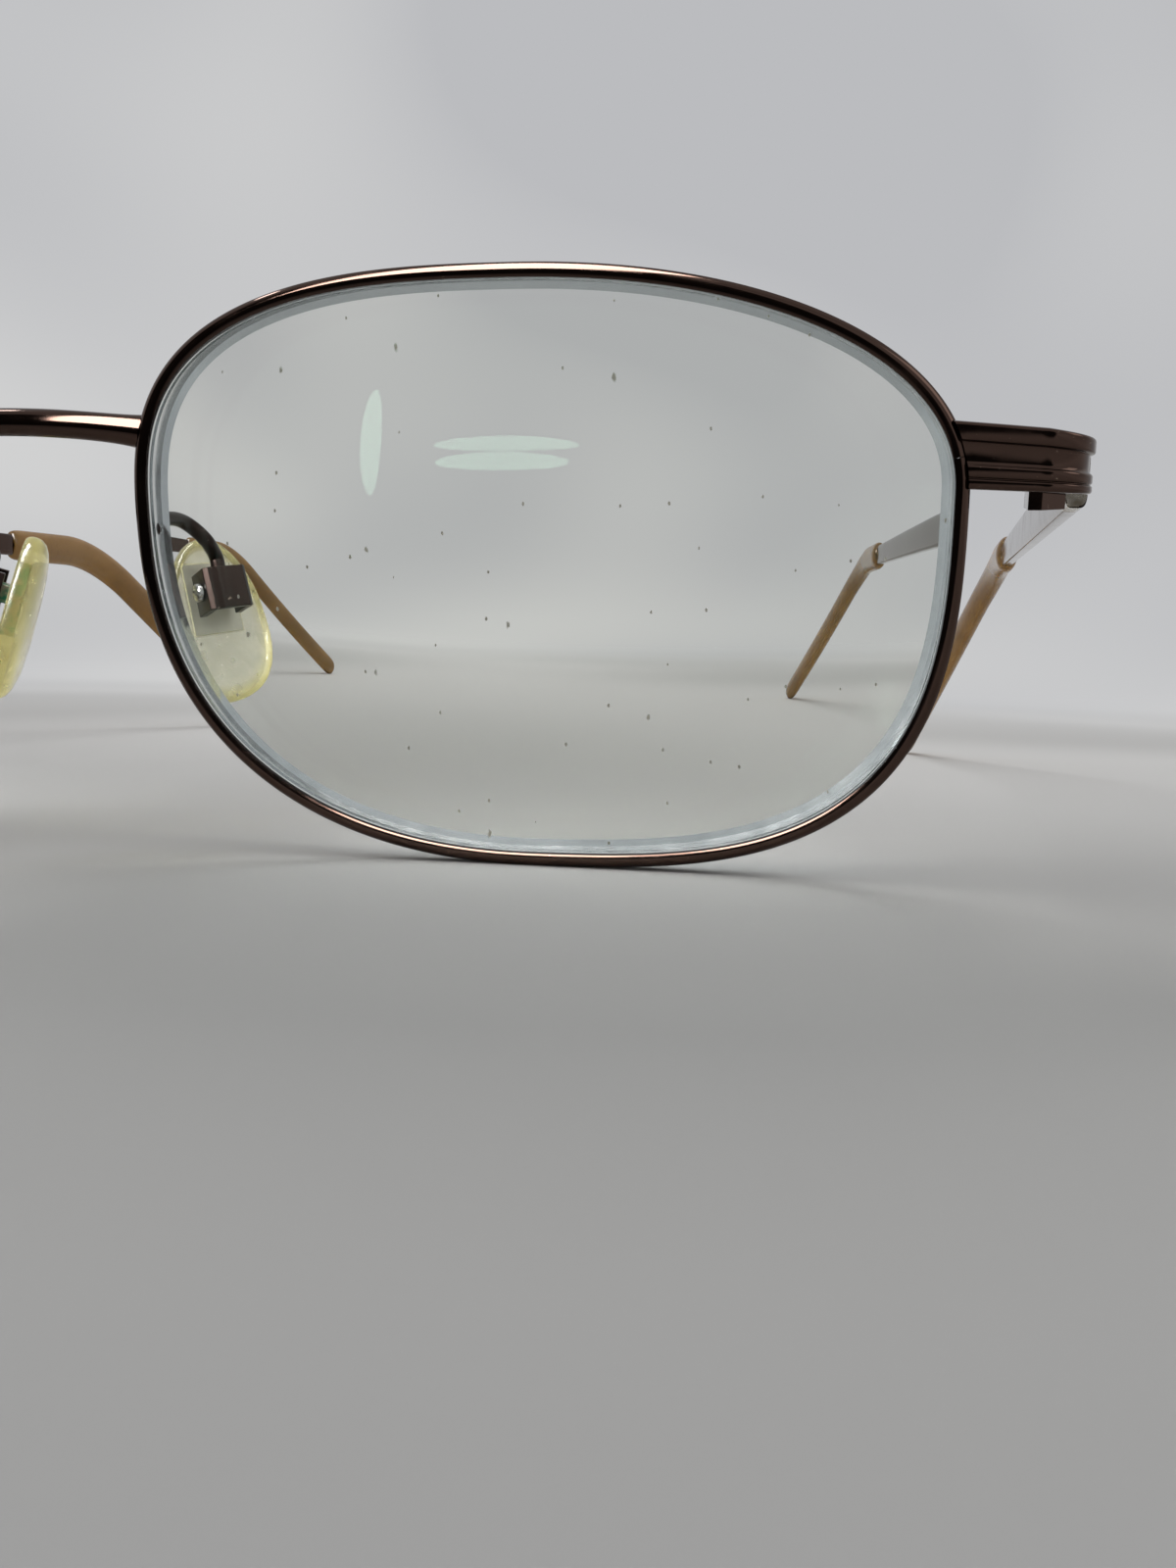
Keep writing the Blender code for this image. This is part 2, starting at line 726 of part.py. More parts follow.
def arm_bmesh():
    """Bent wire from the back of the rim up over and down to the box."""
    root_u = side_u(arm_root_z, nose=True) + arm_radius
    root = eye_to_front(root_u, rim_depth / 2 + crown(root_u, arm_root_z) + 2 * joint_gap,
                        arm_root_z)
    back = eye_to_front(root_u, rim_depth, arm_root_z) - eye_to_front(root_u, 0, arm_root_z)
    top = pad_place(0, box_up + box_height / 2 + joint_gap, box_out)
    knots = [root, root + back * 0.5, root + Vector((-0.8, 3.2, 0.55)),
             root + Vector((-1.1, 4.9, 0.25)), root + Vector((-0.6, 6.0, -1.0)),
             top + pad_up * 1.0, top]
    points = []
    for i in range(len(knots) - 1):
        before = knots[max(i - 1, 0)]
        after = knots[min(i + 2, len(knots) - 1)]
        steps = 3
        for k in range(steps):
            t = k / steps
            a, b = knots[i], knots[i + 1]
            points.append(0.5 * (2 * a + (b - before) * t + (2 * before - 5 * a + 4 * b - after) * t * t
                                 + (3 * a - before - 3 * b + after) * t ** 3))
    points.append(knots[-1])
    size = [arm_radius] * len(points)
    return skin(bar_along(points, size, size, [Vector((1, 0, 0.2))] * len(points), 8))


# ---------------------------------------------------------------- assembly

def build_side(side, label):
    hinge_origin = Vector((side * hinge_x, hinge_y, hinge_z))
    hinge_pivot = make_pivot(label + "_hinge_axis", hinge_origin)
    screw_origin = pad_screw_origin()
    pad_pivot = make_pivot(label + "_pad_axis", Vector((side * screw_origin.x, *screw_origin.yz)))

    add_piece(label + "_rim", rim_bmesh(), bronze, side)
    add_piece(label + "_lens", lens_bmesh(), lens_plastic, side)
    add_piece(label + "_end_piece", end_piece_bmesh(), bronze, side)

    half_split = lock_split_gap / 2
    lock_low = lock_split_z - half_split - lock_height
    lock_high = lock_split_z + half_split + lock_height
    upper = add_piece(label + "_rim_lock_upper", lock_bmesh(lock_split_z + half_split, lock_high),
                      bronze, side, smooth=0)
    lower = add_piece(label + "_rim_lock_lower", lock_bmesh(lock_low, lock_split_z - half_split),
                      bronze, side, smooth=0)
    head_seat = lock_low + lock_head_depth
    axis_point = eye_to_front(lock_screw_u, lock_middle_n, head_seat)
    up = Vector((0, 0, 1))
    reach = lock_high - head_seat - 0.4
    hole = turned([(-lock_head_depth - 1, lock_head_radius + fit), (0, lock_head_radius + fit),
                   (0, lock_screw_radius + fit), (reach + fit, lock_screw_radius + fit)],
                  axis_point, up, bore_sides)
    hole = add_piece(label + "_lock_hole", hole, steel, side, hidden=True)
    cut(upper, hole)
    cut(lower, hole)
    add_piece(label + "_rim_screw",
              screw(axis_point - up * fit, up, lock_head_radius * 0.92, lock_head_depth * 0.9,
                    lock_screw_radius * 0.9, reach - 2 * fit), steel, side)

    hinge_front = add_piece(label + "_hinge_front", hinge_front_bmesh(), nickel, side)
    slot = add_piece(label + "_slot_cutter", slot_cutter_bmesh(), nickel, side, hidden=True)
    bore = bore_bmesh(hinge_screw_radius + fit, hinge_z - hinge_half - 1, hinge_z + hinge_half + 1)
    bore = add_piece(label + "_bore_cutter", bore, nickel, side, hidden=True)
    cut(hinge_front, slot)
    cut(hinge_front, bore)
    hinge_temple = add_piece(label + "_hinge_temple", middle_knuckle_bmesh(), nickel, side,
                             hinge_pivot)
    leaf = add_piece(label + "_leaf", leaf_bmesh(), nickel, side, hinge_pivot, hidden=True)
    cut(hinge_temple, leaf, "UNION")
    cut(hinge_temple, bore)
    top = hinge_z + hinge_half + fit
    add_piece(label + "_hinge_screw",
              screw(Vector((hinge_x, hinge_y, top)), Vector((0, 0, -1)), hinge_head_radius,
                    hinge_head_depth, hinge_screw_radius * 0.95, 2 * hinge_half), steel, side)

    add_piece(label + "_temple_bar", temple_bar_bmesh(), bronze, side, hinge_pivot)
    add_piece(label + "_temple_tip", tip_bmesh(), tip_acetate, side, hinge_pivot)

    add_piece(label + "_pad_arm", arm_bmesh(), bronze, side)
    pad_box = add_piece(label + "_pad_box", pad_box_bmesh(), bronze, side)
    along = pad_width_way
    middle = pad_place(0, box_up, box_out)
    drill = turned([(-box_width, pad_screw_radius + fit), (box_width, pad_screw_radius + fit)],
                   middle, along, bore_sides)
    drill = add_piece(label + "_pad_drill", drill, steel, side, hidden=True)
    cut(pad_box, drill)
    add_piece(label + "_pad_screw",
              screw(pad_screw_origin(), along, pad_head_radius, pad_head_depth,
                    pad_screw_radius * 0.95, box_width + 0.15), steel, side)
    pocket_half = (plate_width / 2 + fit, plate_length / 2 + fit)
    pocket = pad_prism(box_outline(*pocket_half), -pocket_depth, 1.0, box_up)
    pocket = add_piece(label + "_pocket", pocket, pad_plastic, side, pad_pivot, hidden=True)
    pad = add_piece(label + "_nose_pad", nose_pad_bmesh(), pad_plastic, side, pad_pivot)
    cut(pad, pocket)
    insert = add_piece(label + "_pad_insert", pad_insert_bmesh(), nickel, side, pad_pivot)
    plate = pad_prism(box_outline(plate_width / 2, plate_length / 2), -pocket_depth + fit,
                      -pocket_depth + fit + plate_thickness, box_up)
    plate = add_piece(label + "_plate", plate, nickel, side, pad_pivot, hidden=True)
    cut(insert, plate, "UNION")
    cut(insert, drill)


build_side(1, "left")
build_side(-1, "right")
add_piece("bridge", bridge_bmesh(), bronze)


# ---------------------------------------------------------------- standing on a table

def lowest(points, tilt):
    return min(p.y * math.sin(tilt) + p.z * math.cos(tilt) for p in points)


def rest_tilt():
    """The tilt about X that puts rim bottoms and temple tips on one level."""
    rim_points = [v.co for v in bpy.data.objects["left_rim"].data.vertices]
    tip = bpy.data.objects["left_temple_tip"]
    tip_points = [tip.parent.location + v.co for v in tip.data.vertices]
    low, high = 0.0, math.radians(40)
    for _ in range(50):
        middle = (low + high) / 2
        if lowest(tip_points, middle) < lowest(rim_points, middle):
            low = middle
        else:
            high = middle
    return (low + high) / 2, rim_points + tip_points


tilt, standing_points = rest_tilt()
front.rotation_euler = (tilt, 0, 0)
tilted = Matrix.Rotation(tilt, 3, "X")
body_points = list(standing_points)
for name in ("bridge", "left_end_piece", "left_lens"):
    body_points += [v.co for v in bpy.data.objects[name].data.vertices]
turned_points = [tilted @ point for point in body_points]
depth_middle = (min(p.y for p in turned_points) + max(p.y for p in turned_points)) / 2
front.location = (0, -depth_middle, -min(p.z for p in turned_points))
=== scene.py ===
import json
import math

import bmesh
import bpy
from mathutils import Matrix, Vector


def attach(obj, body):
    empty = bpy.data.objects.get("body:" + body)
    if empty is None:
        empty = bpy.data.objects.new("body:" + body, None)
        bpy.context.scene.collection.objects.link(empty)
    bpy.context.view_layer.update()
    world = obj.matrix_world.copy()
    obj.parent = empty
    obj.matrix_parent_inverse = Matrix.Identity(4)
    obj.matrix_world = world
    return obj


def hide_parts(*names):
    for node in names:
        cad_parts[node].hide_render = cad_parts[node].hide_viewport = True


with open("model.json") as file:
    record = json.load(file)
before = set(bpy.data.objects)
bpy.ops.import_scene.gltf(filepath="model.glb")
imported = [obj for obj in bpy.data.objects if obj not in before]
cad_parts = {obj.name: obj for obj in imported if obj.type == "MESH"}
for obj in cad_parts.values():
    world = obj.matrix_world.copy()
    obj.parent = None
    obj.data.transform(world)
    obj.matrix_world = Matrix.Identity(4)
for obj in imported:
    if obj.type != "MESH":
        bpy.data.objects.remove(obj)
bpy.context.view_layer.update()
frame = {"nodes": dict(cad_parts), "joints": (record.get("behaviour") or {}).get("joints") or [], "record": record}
print("frame loaded:", len(frame["nodes"]), "nodes")

mm = 0.001
bodyOf = {node: body for body, nodes in frame["record"]["behaviour"]["bodies"].items() for node in nodes}

# Lengths are in millimetres in the front's own frame: X to the wearer's left, Y back, Z up,
# origin midway between the lenses. On an eye, u runs from nose to temple and n back through the lens.
eye = {
    "bridgeWidth": 20.0, "wrap": 6.0, "noseU": -0.55, "templeU": 52.8, "topZ": 19.1, "bottomZ": -19.0,
    "crownU": 24.5, "soleU": 26.6, "noseBulgeZ": 3.6, "templeBulgeZ": 5.3, "baseRadius": 335.0,
    "topTemple": 2.15, "topNose": 2.80, "bottomNose": 2.31, "bottomTemple": 2.99,
}
jointGap = 0.1  # between soldered pieces
solderRun = 0.14  # how far the solder carries a bar into the rim beside it
wrap = math.radians(eye["wrap"])
middleU = (eye["noseU"] + eye["templeU"]) / 2
halfU = (eye["templeU"] - eye["noseU"]) / 2


def eyeToFront(u, n, z):
    x = eye["bridgeWidth"] / 2 + u * math.cos(wrap) - n * math.sin(wrap)
    y = u * math.sin(wrap) + n * math.cos(wrap)
    return Vector((x, y, z))


# The end piece's corner and the hinge behind it set the front's place, through the fold joint.
endPiece = {
    "reach": 7.4, "thickness": 1.4, "corner": 3.0, "return": 1.7, "frontN": -1.3,
    "bottomZ": (5.55, 5.35, 5.05), "topZ": (9.6, 9.1, 8.2),  # at the rim, the corner and the hinge
    # The face's bands as shares of its height, and the depths of its hollows.
    "topBand": 0.27, "fluteEnd": 0.60, "ribTop": 0.66, "ribBottom": 0.80, "footTop": 0.86,
    "fluteDepth": 0.30, "grooveDepth": 0.18, "edgeStep": 0.03,
}
hinge = {"z": 6.2, "knuckleRadius": 1.15, "knuckleHeight": 1.25, "gap": 0.08, "running": 0.12}
templeOuterX = eyeToFront(eye["templeU"], 0, 0).x + endPiece["reach"]
cornerX = templeOuterX - endPiece["corner"]
cornerU = (cornerX - eye["bridgeWidth"] / 2) / math.cos(wrap)
cornerY = eyeToFront(cornerU, endPiece["frontN"], 0).y + endPiece["corner"]
endRearY = cornerY + endPiece["return"]
hingeX = templeOuterX - endPiece["thickness"] - hinge["running"] - hinge["knuckleRadius"]
templeGap = 0.15
hingeY = endRearY + templeGap / 2

foldJoint = next(joint for joint in frame["joints"] if joint["name"] == "left_temple_fold")
tilt = math.atan2(-foldJoint["axis"][1], foldJoint["axis"][2])
turnFront = Matrix.Rotation(tilt, 4, "X")
frontPlace = Vector(foldJoint["pos_m"]) - turnFront @ (Vector((hingeX, hingeY, hinge["z"])) * mm)
frontToRow = Matrix.Translation(frontPlace) @ turnFront @ Matrix.Scale(mm, 4)


# A rgb hex value, as a colour picker shows it, to the linear colour that a shader takes.
def linearColour(hexValue):
    channels = [int(hexValue[i:i + 2], 16) / 255 for i in (1, 3, 5)]
    return (*[c / 12.92 if c <= 0.04045 else ((c + 0.055) / 1.055) ** 2.4 for c in channels], 1.0)


# Sets one input: a node (its first output) or a socket is linked, and a hex colour or a value is set.
def setInput(tree, socket, value):
    if isinstance(value, bpy.types.Node):
        value = value.outputs[0]
    if isinstance(value, bpy.types.NodeSocket):
        tree.links.new(value, socket)
    else:
        socket.default_value = linearColour(value) if isinstance(value, str) else value


# Adds a node with its settings, and its inputs by name or number.
def addNode(tree, kind, inputs=None, **settings):
    node = tree.nodes.new("ShaderNode" + kind)
    for name, value in settings.items():
        setattr(node, name, value)
    for name, value in (inputs or {}).items():
        setInput(tree, node.inputs[name], value)
    return node


# Inputs 1 to 4 of a map range: what it reads lies between the first two, what it gives between the others.
def limits(read=(0.0, 1.0), give=(0.0, 1.0)):
    return {1: read[0], 2: read[1], 3: give[0], 4: give[1]}


def shade(tree, shader, **inputs):
    for label, value in inputs.items():
        setInput(tree, shader.inputs[label.replace("_", " ")], value)


def startMaterial(name, **inputs):
    material = bpy.data.materials.new(name)
    material.use_nodes = True
    tree = material.node_tree
    shader = tree.nodes["Principled BSDF"]
    shade(tree, shader, **inputs)
    return material, tree, shader


bronzeLook = {
    "colour": "#4d3d36", "tarnished": "#372d2a", "worn": "#a08f80", "roughness": (0.05, 0.14),
    "cloudSize": 2.5, "clouds": (0.35, 0.7), "wearSize": 0.3, "wear": (0.75, 0.81),
    "scratchSize": 0.09, "scratchDepth": 0.0005,
}


# Nickel silver electroplated a dark brown bronze and polished: near black where it mirrors dark,
# peach where it mirrors a lamp, with fine hazy handling marks and specks where the plate has worn.
def platedBronze(name, colour=bronzeLook["colour"], wear=0.0, dull=0.0):
    look = bronzeLook
    material, tree, shader = startMaterial(name, Metallic=1.0)
    place = addNode(tree, "TexCoord").outputs["Object"]
    cloud = addNode(tree, "TexNoise", {"Vector": place, "Scale": 1 / (look["cloudSize"] * mm), "Detail": 5.0})
    roughness = [value + dull for value in look["roughness"]]
    rough = addNode(tree, "MapRange", {0: cloud, **limits(look["clouds"], roughness)})
    specks = addNode(tree, "TexNoise", {"Vector": place, "Scale": 1 / (look["wearSize"] * mm), "Detail": 3.0})
    wornAt = [value - wear for value in look["wear"]]
    worn = addNode(tree, "MapRange", {0: specks, **limits(wornAt)})
    plate = addNode(tree, "Mix", {0: worn, 6: colour, 7: look["worn"]}, data_type="RGBA")
    scratch = addNode(tree, "TexNoise", {
        "Vector": place, "Scale": 1 / (look["scratchSize"] * mm), "Detail": 2.0})
    bump = addNode(tree, "Bump", {
        "Height": scratch, "Distance": look["scratchDepth"] * mm, "Strength": 0.6})
    shade(tree, shader, Base_Color=plate.outputs[2], Roughness=rough, Normal=bump)
    return material


nickelLook = {
    "colour": "#c4beb2", "stain": "#8d8474", "roughness": (0.2, 0.42), "stainSize": 0.9,
    "stains": (0.45, 0.7), "grainSize": 0.12, "grainDepth": 0.003,
}


# Bare nickel silver, tumbled: a soft warm grey metal with a fine grain and dull stains from handling.
def nickelSilver():
    look = nickelLook
    material, tree, shader = startMaterial("nickelSilverTumbled", Metallic=1.0)
    place = addNode(tree, "TexCoord").outputs["Object"]
    stain = addNode(tree, "TexNoise", {"Vector": place, "Scale": 1 / (look["stainSize"] * mm), "Detail": 4.0})
    share = addNode(tree, "MapRange", {0: stain, **limits(look["stains"])})
    colour = addNode(tree, "Mix", {0: share, 6: look["colour"], 7: look["stain"]}, data_type="RGBA")
    rough = addNode(tree, "MapRange", {0: share, **limits(give=look["roughness"])})
    grain = addNode(tree, "TexNoise", {"Vector": place, "Scale": 1 / (look["grainSize"] * mm), "Detail": 2.0})
    bump = addNode(tree, "Bump", {"Height": grain, "Distance": look["grainDepth"] * mm, "Strength": 0.5})
    shade(tree, shader, Base_Color=colour.outputs[2], Roughness=rough, Normal=bump)
    return material


steelLook = {
    "colour": "#c9c9c8", "tarnish": "#7f7467", "roughness": 0.2, "tarnishSize": 0.5, "tarnished": (0.5, 0.68),
    "grainSize": 0.06, "grainDepth": 0.002,
}


# Turned stainless steel: bright, with a fine turned grain that breaks its highlights, and a little tarnish.
def turnedSteel():
    look = steelLook
    material, tree, shader = startMaterial("stainlessSteelTurned", Metallic=1.0, Roughness=look["roughness"])
    place = addNode(tree, "TexCoord").outputs["Object"]
    tarnish = addNode(tree, "TexNoise", {
        "Vector": place, "Scale": 1 / (look["tarnishSize"] * mm), "Detail": 3.0})
    share = addNode(tree, "MapRange", {0: tarnish, **limits(look["tarnished"])})
    colour = addNode(tree, "Mix", {0: share, 6: look["colour"], 7: look["tarnish"]}, data_type="RGBA")
    grain = addNode(tree, "TexNoise", {"Vector": place, "Scale": 1 / (look["grainSize"] * mm)})
    bump = addNode(tree, "Bump", {"Height": grain, "Distance": look["grainDepth"] * mm, "Strength": 0.5})
    shade(tree, shader, Base_Color=colour.outputs[2], Normal=bump)
    return material


# Lamps shine through a clear plastic with this tint, so that it doesn't throw a solid shadow.
def passLamps(tree, shader, tint):
    path = addNode(tree, "LightPath")
    clear = addNode(tree, "BsdfTransparent", {"Color": tint})
    mixed = addNode(tree, "MixShader", {0: path.outputs["Is Shadow Ray"], 1: shader, 2: clear})
    tree.links.new(mixed.outputs[0], tree.nodes["Material Output"].inputs["Surface"])


lensLook = {"ior": 1.6, "coating": "#658673", "body": "#eceeea", "shade": "#d2d4d4"}

# Dust specks lie one to a cell, in some of the cells: a fine kind and a coarse kind, each with its
# cell in mm, its size as a share of the cell and its own shift. They are longer up than across.
dustLook = {
    "speck": "#9a9183", "kinds": ((2.8, 0.03, 0.0), (8.0, 0.019, 3.7)), "upright": 0.6, "raggedSize": 0.35,
    "ragged": 1.6, "blur": (-0.006, 0.004), "emptyShare": 0.55, "clearness": 0.45, "roughness": 0.8,
}


# Cast high-index lens plastic with a hard coat: water clear, its faint reflections tinted green by
# the coating. The front has dry dust specks on it, which show as small dull dots.
def coatedLens(name, dusty):
    look = lensLook
    material, tree, shader = startMaterial(
        name, IOR=look["ior"], Base_Color=look["body"], Roughness=0.0,
        Specular_Tint=look["coating"], Transmission_Weight=1.0)
    passLamps(tree, shader, look["shade"])
    if not dusty:
        return material
    dust = dustLook
    place = addNode(tree, "TexCoord").outputs["Object"]
    parts = addNode(tree, "SeparateXYZ", {0: place})
    narrow = addNode(tree, "Math", {0: parts.outputs[2], 1: dust["upright"]}, operation="MULTIPLY")
    flat = addNode(tree, "CombineXYZ", {0: parts, 1: narrow})
    wobble = addNode(tree, "TexNoise", {
        "Vector": place, "Scale": 1 / (dust["raggedSize"] * mm), "Detail": 1.0})
    masks = []
    for cell, size, shift in dust["kinds"]:
        moved = addNode(tree, "VectorMath", {0: flat, 1: (shift * mm, 0.0, 0.0)}, operation="ADD")
        cells = addNode(tree, "TexVoronoi", {
            "Vector": moved, "Scale": 1 / (cell * mm)}, voronoi_dimensions="2D")
        edge = addNode(tree, "Math", {0: wobble, 1: size * dust["ragged"]}, operation="MULTIPLY")
        reach = addNode(tree, "Math", {0: cells.outputs["Distance"], 1: edge}, operation="SUBTRACT")
        near = addNode(tree, "MapRange", {0: reach, **limits(dust["blur"], (1.0, 0.0))})
        chance = addNode(tree, "SeparateXYZ", {0: cells.outputs["Color"]})
        some = addNode(tree, "Math", {0: chance, 1: dust["emptyShare"]}, operation="GREATER_THAN")
        masks.append(addNode(tree, "Math", {0: near, 1: some}, operation="MULTIPLY"))
    specks = addNode(tree, "Math", {0: masks[0], 1: masks[1]}, operation="MAXIMUM")
    colour = addNode(tree, "Mix", {0: specks, 6: look["body"], 7: dust["speck"]}, data_type="RGBA")
    clear = addNode(tree, "MapRange", {0: specks, **limits(give=(1.0, dust["clearness"]))})
    rough = addNode(tree, "MapRange", {0: specks, **limits(give=(0.0, dust["roughness"]))})
    shade(tree, shader, Base_Color=colour.outputs[2], Transmission_Weight=clear, Roughness=rough)
    return material


lensEdgeLook = {
    "colour": "#8f999c", "clearness": 0.85, "size": 1.2, "grind": (0.3, 0.7), "roughness": (0.1, 0.17),
}


# The lens edge, ground to shape and then smoothed: the same plastic with a slow satin haze, which
# dims and greys what shows through it.
def groundLensEdge():
    look = lensEdgeLook
    material, tree, shader = startMaterial(
        "lensEdgeGround", IOR=lensLook["ior"], Base_Color=look["colour"],
        Transmission_Weight=look["clearness"])
    place = addNode(tree, "TexCoord").outputs["Object"]
    grind = addNode(tree, "TexNoise", {"Vector": place, "Scale": 1 / (look["size"] * mm), "Detail": 1.0})
    rough = addNode(tree, "MapRange", {0: grind, **limits(look["grind"], look["roughness"])})
    shade(tree, shader, Roughness=rough)
    passLamps(tree, shader, lensLook["shade"])
    return material


tipLook = {
    "colour": "#84602a", "pale": "#987138", "veil": "#6b4c22", "shade": "#8a6a3c", "ior": 1.48,
    "glow": 0.2, "glowReach": 0.5, "glowColours": (1.0, 0.5, 0.15),
    "cloudSize": 6.0, "stretch": (1.0, 0.25, 1.0), "clouds": (0.35, 0.62),
    "veilSize": 0.8, "veils": (0.55, 0.75), "veilShare": 0.25, "wear": (0.3, 0.7), "roughness": (0.14, 0.24),
    "rippleDepth": 0.001,
}


# Cellulose acetate, injection moulded and polished: brown amber with slow cloudy streaks along it and
# a little light spread under its skin. Glossy, with a light haze from wear.
def amberAcetate():
    look = tipLook
    material, tree, shader = startMaterial(
        "acetateAmberPolished", IOR=look["ior"], Subsurface_Weight=look["glow"],
        Subsurface_Radius=look["glowColours"], Subsurface_Scale=look["glowReach"] * mm)
    place = addNode(tree, "TexCoord").outputs["Object"]
    streak = addNode(tree, "Mapping", {"Vector": place, "Scale": look["stretch"]})
    cloud = addNode(tree, "TexNoise", {
        "Vector": streak, "Scale": 1 / (look["cloudSize"] * mm), "Detail": 2.0, "Distortion": 0.4})
    first = addNode(tree, "MapRange", {0: cloud, **limits(look["clouds"])})
    colour = addNode(tree, "Mix", {0: first, 6: look["colour"], 7: look["pale"]}, data_type="RGBA")
    fine = addNode(tree, "TexNoise", {"Vector": place, "Scale": 1 / (look["veilSize"] * mm), "Detail": 3.0})
    veiled = (0.0, look["veilShare"])
    second = addNode(tree, "MapRange", {0: fine, **limits(look["veils"], veiled)})
    deeper = addNode(tree, "Mix", {0: second, 6: colour.outputs[2], 7: look["veil"]}, data_type="RGBA")
    rough = addNode(tree, "MapRange", {0: fine, **limits(look["wear"], look["roughness"])})
    bump = addNode(tree, "Bump", {"Height": fine, "Distance": look["rippleDepth"] * mm, "Strength": 0.3})
    shade(tree, shader, Base_Color=deeper.outputs[2], Roughness=rough, Normal=bump)
    passLamps(tree, shader, look["shade"])
    return material


# The edge colour is a painted glow: the brighter yellow of light gathered at the pad's rim.
padLook = {
    "clear": "#f5f3e2", "edge": "#ddd38a", "grime": "#a5a17a", "shade": "#d6d4bb", "ior": 1.52,
    "clearness": 0.8, "edgeGlowRange": (0.55, 1.0), "grimeSize": 1.1, "grimy": (0.62, 0.78), "grimeShare": 0.5,
    "wear": (0.3, 0.7), "roughness": (0.08, 0.3), "dentDepth": 0.03,
}


# Soft clear PVC, moulded and yellowed with age, hazy in the middle, with greenish grime from the metal; its rim is
# painted brighter yellow, a painted glow for the light its edge gathers. The edgeShare attribute runs from 0
# inside to 1 at the edge.
def yellowedPvc():
    look = padLook
    material, tree, shader = startMaterial(
        "pvcClearYellowed", IOR=look["ior"], Transmission_Weight=look["clearness"])
    place = addNode(tree, "TexCoord").outputs["Object"]
    share = addNode(tree, "Attribute", attribute_name="edgeShare")
    # Painted glow: towards the pad's edge the colour turns brighter yellow, standing in for light gathered in the
    # clear edge.
    edgeGlow = addNode(tree, "MapRange", {0: share.outputs["Fac"], **limits(look["edgeGlowRange"])})
    colour = addNode(tree, "Mix", {0: edgeGlow, 6: look["clear"], 7: look["edge"]}, data_type="RGBA")
    spots = addNode(tree, "TexNoise", {"Vector": place, "Scale": 1 / (look["grimeSize"] * mm), "Detail": 5.0})
    soiled = (0.0, look["grimeShare"])
    grime = addNode(tree, "MapRange", {0: spots, **limits(look["grimy"], soiled)})
    stained = addNode(tree, "Mix", {0: grime, 6: colour.outputs[2], 7: look["grime"]}, data_type="RGBA")
    rough = addNode(tree, "MapRange", {0: spots, **limits(look["wear"], look["roughness"])})
    bump = addNode(tree, "Bump", {"Height": spots, "Distance": look["dentDepth"] * mm, "Strength": 0.4})
    shade(tree, shader, Base_Color=stained.outputs[2], Roughness=rough, Normal=bump)
    passLamps(tree, shader, look["shade"])
    return material


# The left pad's plate is painted pale and hardly metallic, with little green, so that it shows light through the
# pad rather than as a dark patch; the right one is bare metal under more crust.
plateLook = {
    "left": {"name": "nickelSilverPaintedPale", "bare": "#cfccba", "metallic": 0.15, "crustFrom": 0.66},
    "right": {"name": "nickelSilverVerdigris", "bare": "#a8a08c", "metallic": 1.0, "crustFrom": 0.42},
    "crust": "#2f7d5c", "crustSize": 0.8, "crustFade": 0.16, "crustDepth": 0.06, "roughness": (0.35, 0.85),
}


# Nickel silver inside a nose pad, with the green crust that skin salts leave on its copper.
def greenedNickel(label):
    look, own = plateLook, plateLook[label]
    material, tree, shader = startMaterial(own["name"])
    place = addNode(tree, "TexCoord").outputs["Object"]
    crust = addNode(tree, "TexNoise", {"Vector": place, "Scale": 1 / (look["crustSize"] * mm), "Detail": 6.0})
    covered = (own["crustFrom"], own["crustFrom"] + look["crustFade"])
    share = addNode(tree, "MapRange", {0: crust, **limits(covered)})
    colour = addNode(tree, "Mix", {0: share, 6: own["bare"], 7: look["crust"]}, data_type="RGBA")
    metal = addNode(tree, "MapRange", {0: share, **limits(give=(own["metallic"], 0.0))})
    rough = addNode(tree, "MapRange", {0: share, **limits(give=look["roughness"])})
    bump = addNode(tree, "Bump", {"Height": crust, "Distance": look["crustDepth"] * mm, "Strength": 0.6})
    shade(tree, shader, Base_Color=colour.outputs[2], Metallic=metal, Roughness=rough, Normal=bump)
    return material


bronze = platedBronze("platedBronzePolished")
wornBronze = platedBronze("platedBronzeSolderWorn", wear=0.05)
dullBronze = platedBronze("platedBronzeTarnished", colour=bronzeLook["tarnished"], wear=0.06, dull=0.24)
nickel = nickelSilver()
steel = turnedSteel()
lensClear = coatedLens("lensPlasticCoatedDusty", dusty=True)
lensBack = coatedLens("lensPlasticCoatedClean", dusty=False)
lensEdge = groundLensEdge()
acetate = amberAcetate()
pvc = yellowedPvc()
print("materials ready")


def addObject(name, bm, materials=()):
    mesh = bpy.data.meshes.new(name)
    bm.to_mesh(mesh)
    bm.free()
    for material in materials:
        mesh.materials.append(material)
    mesh.shade_smooth()
    added = bpy.data.objects.new(name, mesh)
    bpy.context.scene.collection.objects.link(added)
    return added


# The piece rides on the body of the node that it stands for.
def standFor(piece, node):
    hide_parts(node)
    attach(piece, bodyOf[node])


# From front-frame millimetres into the row, mirrored for the right side.
def moveIntoRow(bm, side):
    bm.transform(frontToRow @ Matrix.Diagonal((side, 1, 1, 1)))
    bmesh.ops.recalc_face_normals(bm, faces=bm.faces)


def makePiece(name, bm, materials, node, side=1, sharp=35.0):
    moveIntoRow(bm, side)
    piece = addObject(name, bm, materials)
    piece.data.set_sharp_from_angle(angle=math.radians(sharp))
    standFor(piece, node)
    return piece


# A tube of faces through rings of points, capped at both ends.
def skin(rings, capped=True):
    bm = bmesh.new()
    rows = [[bm.verts.new(point) for point in ring] for ring in rings]
    count = len(rows[0])
    for first, second in zip(rows, rows[1:]):
        for i in range(count):
            j = (i + 1) % count
            bm.faces.new((first[i], first[j], second[j], second[i]))
    if capped:
        bm.faces.new(rows[0])
        bm.faces.new(rows[-1])
    return bm


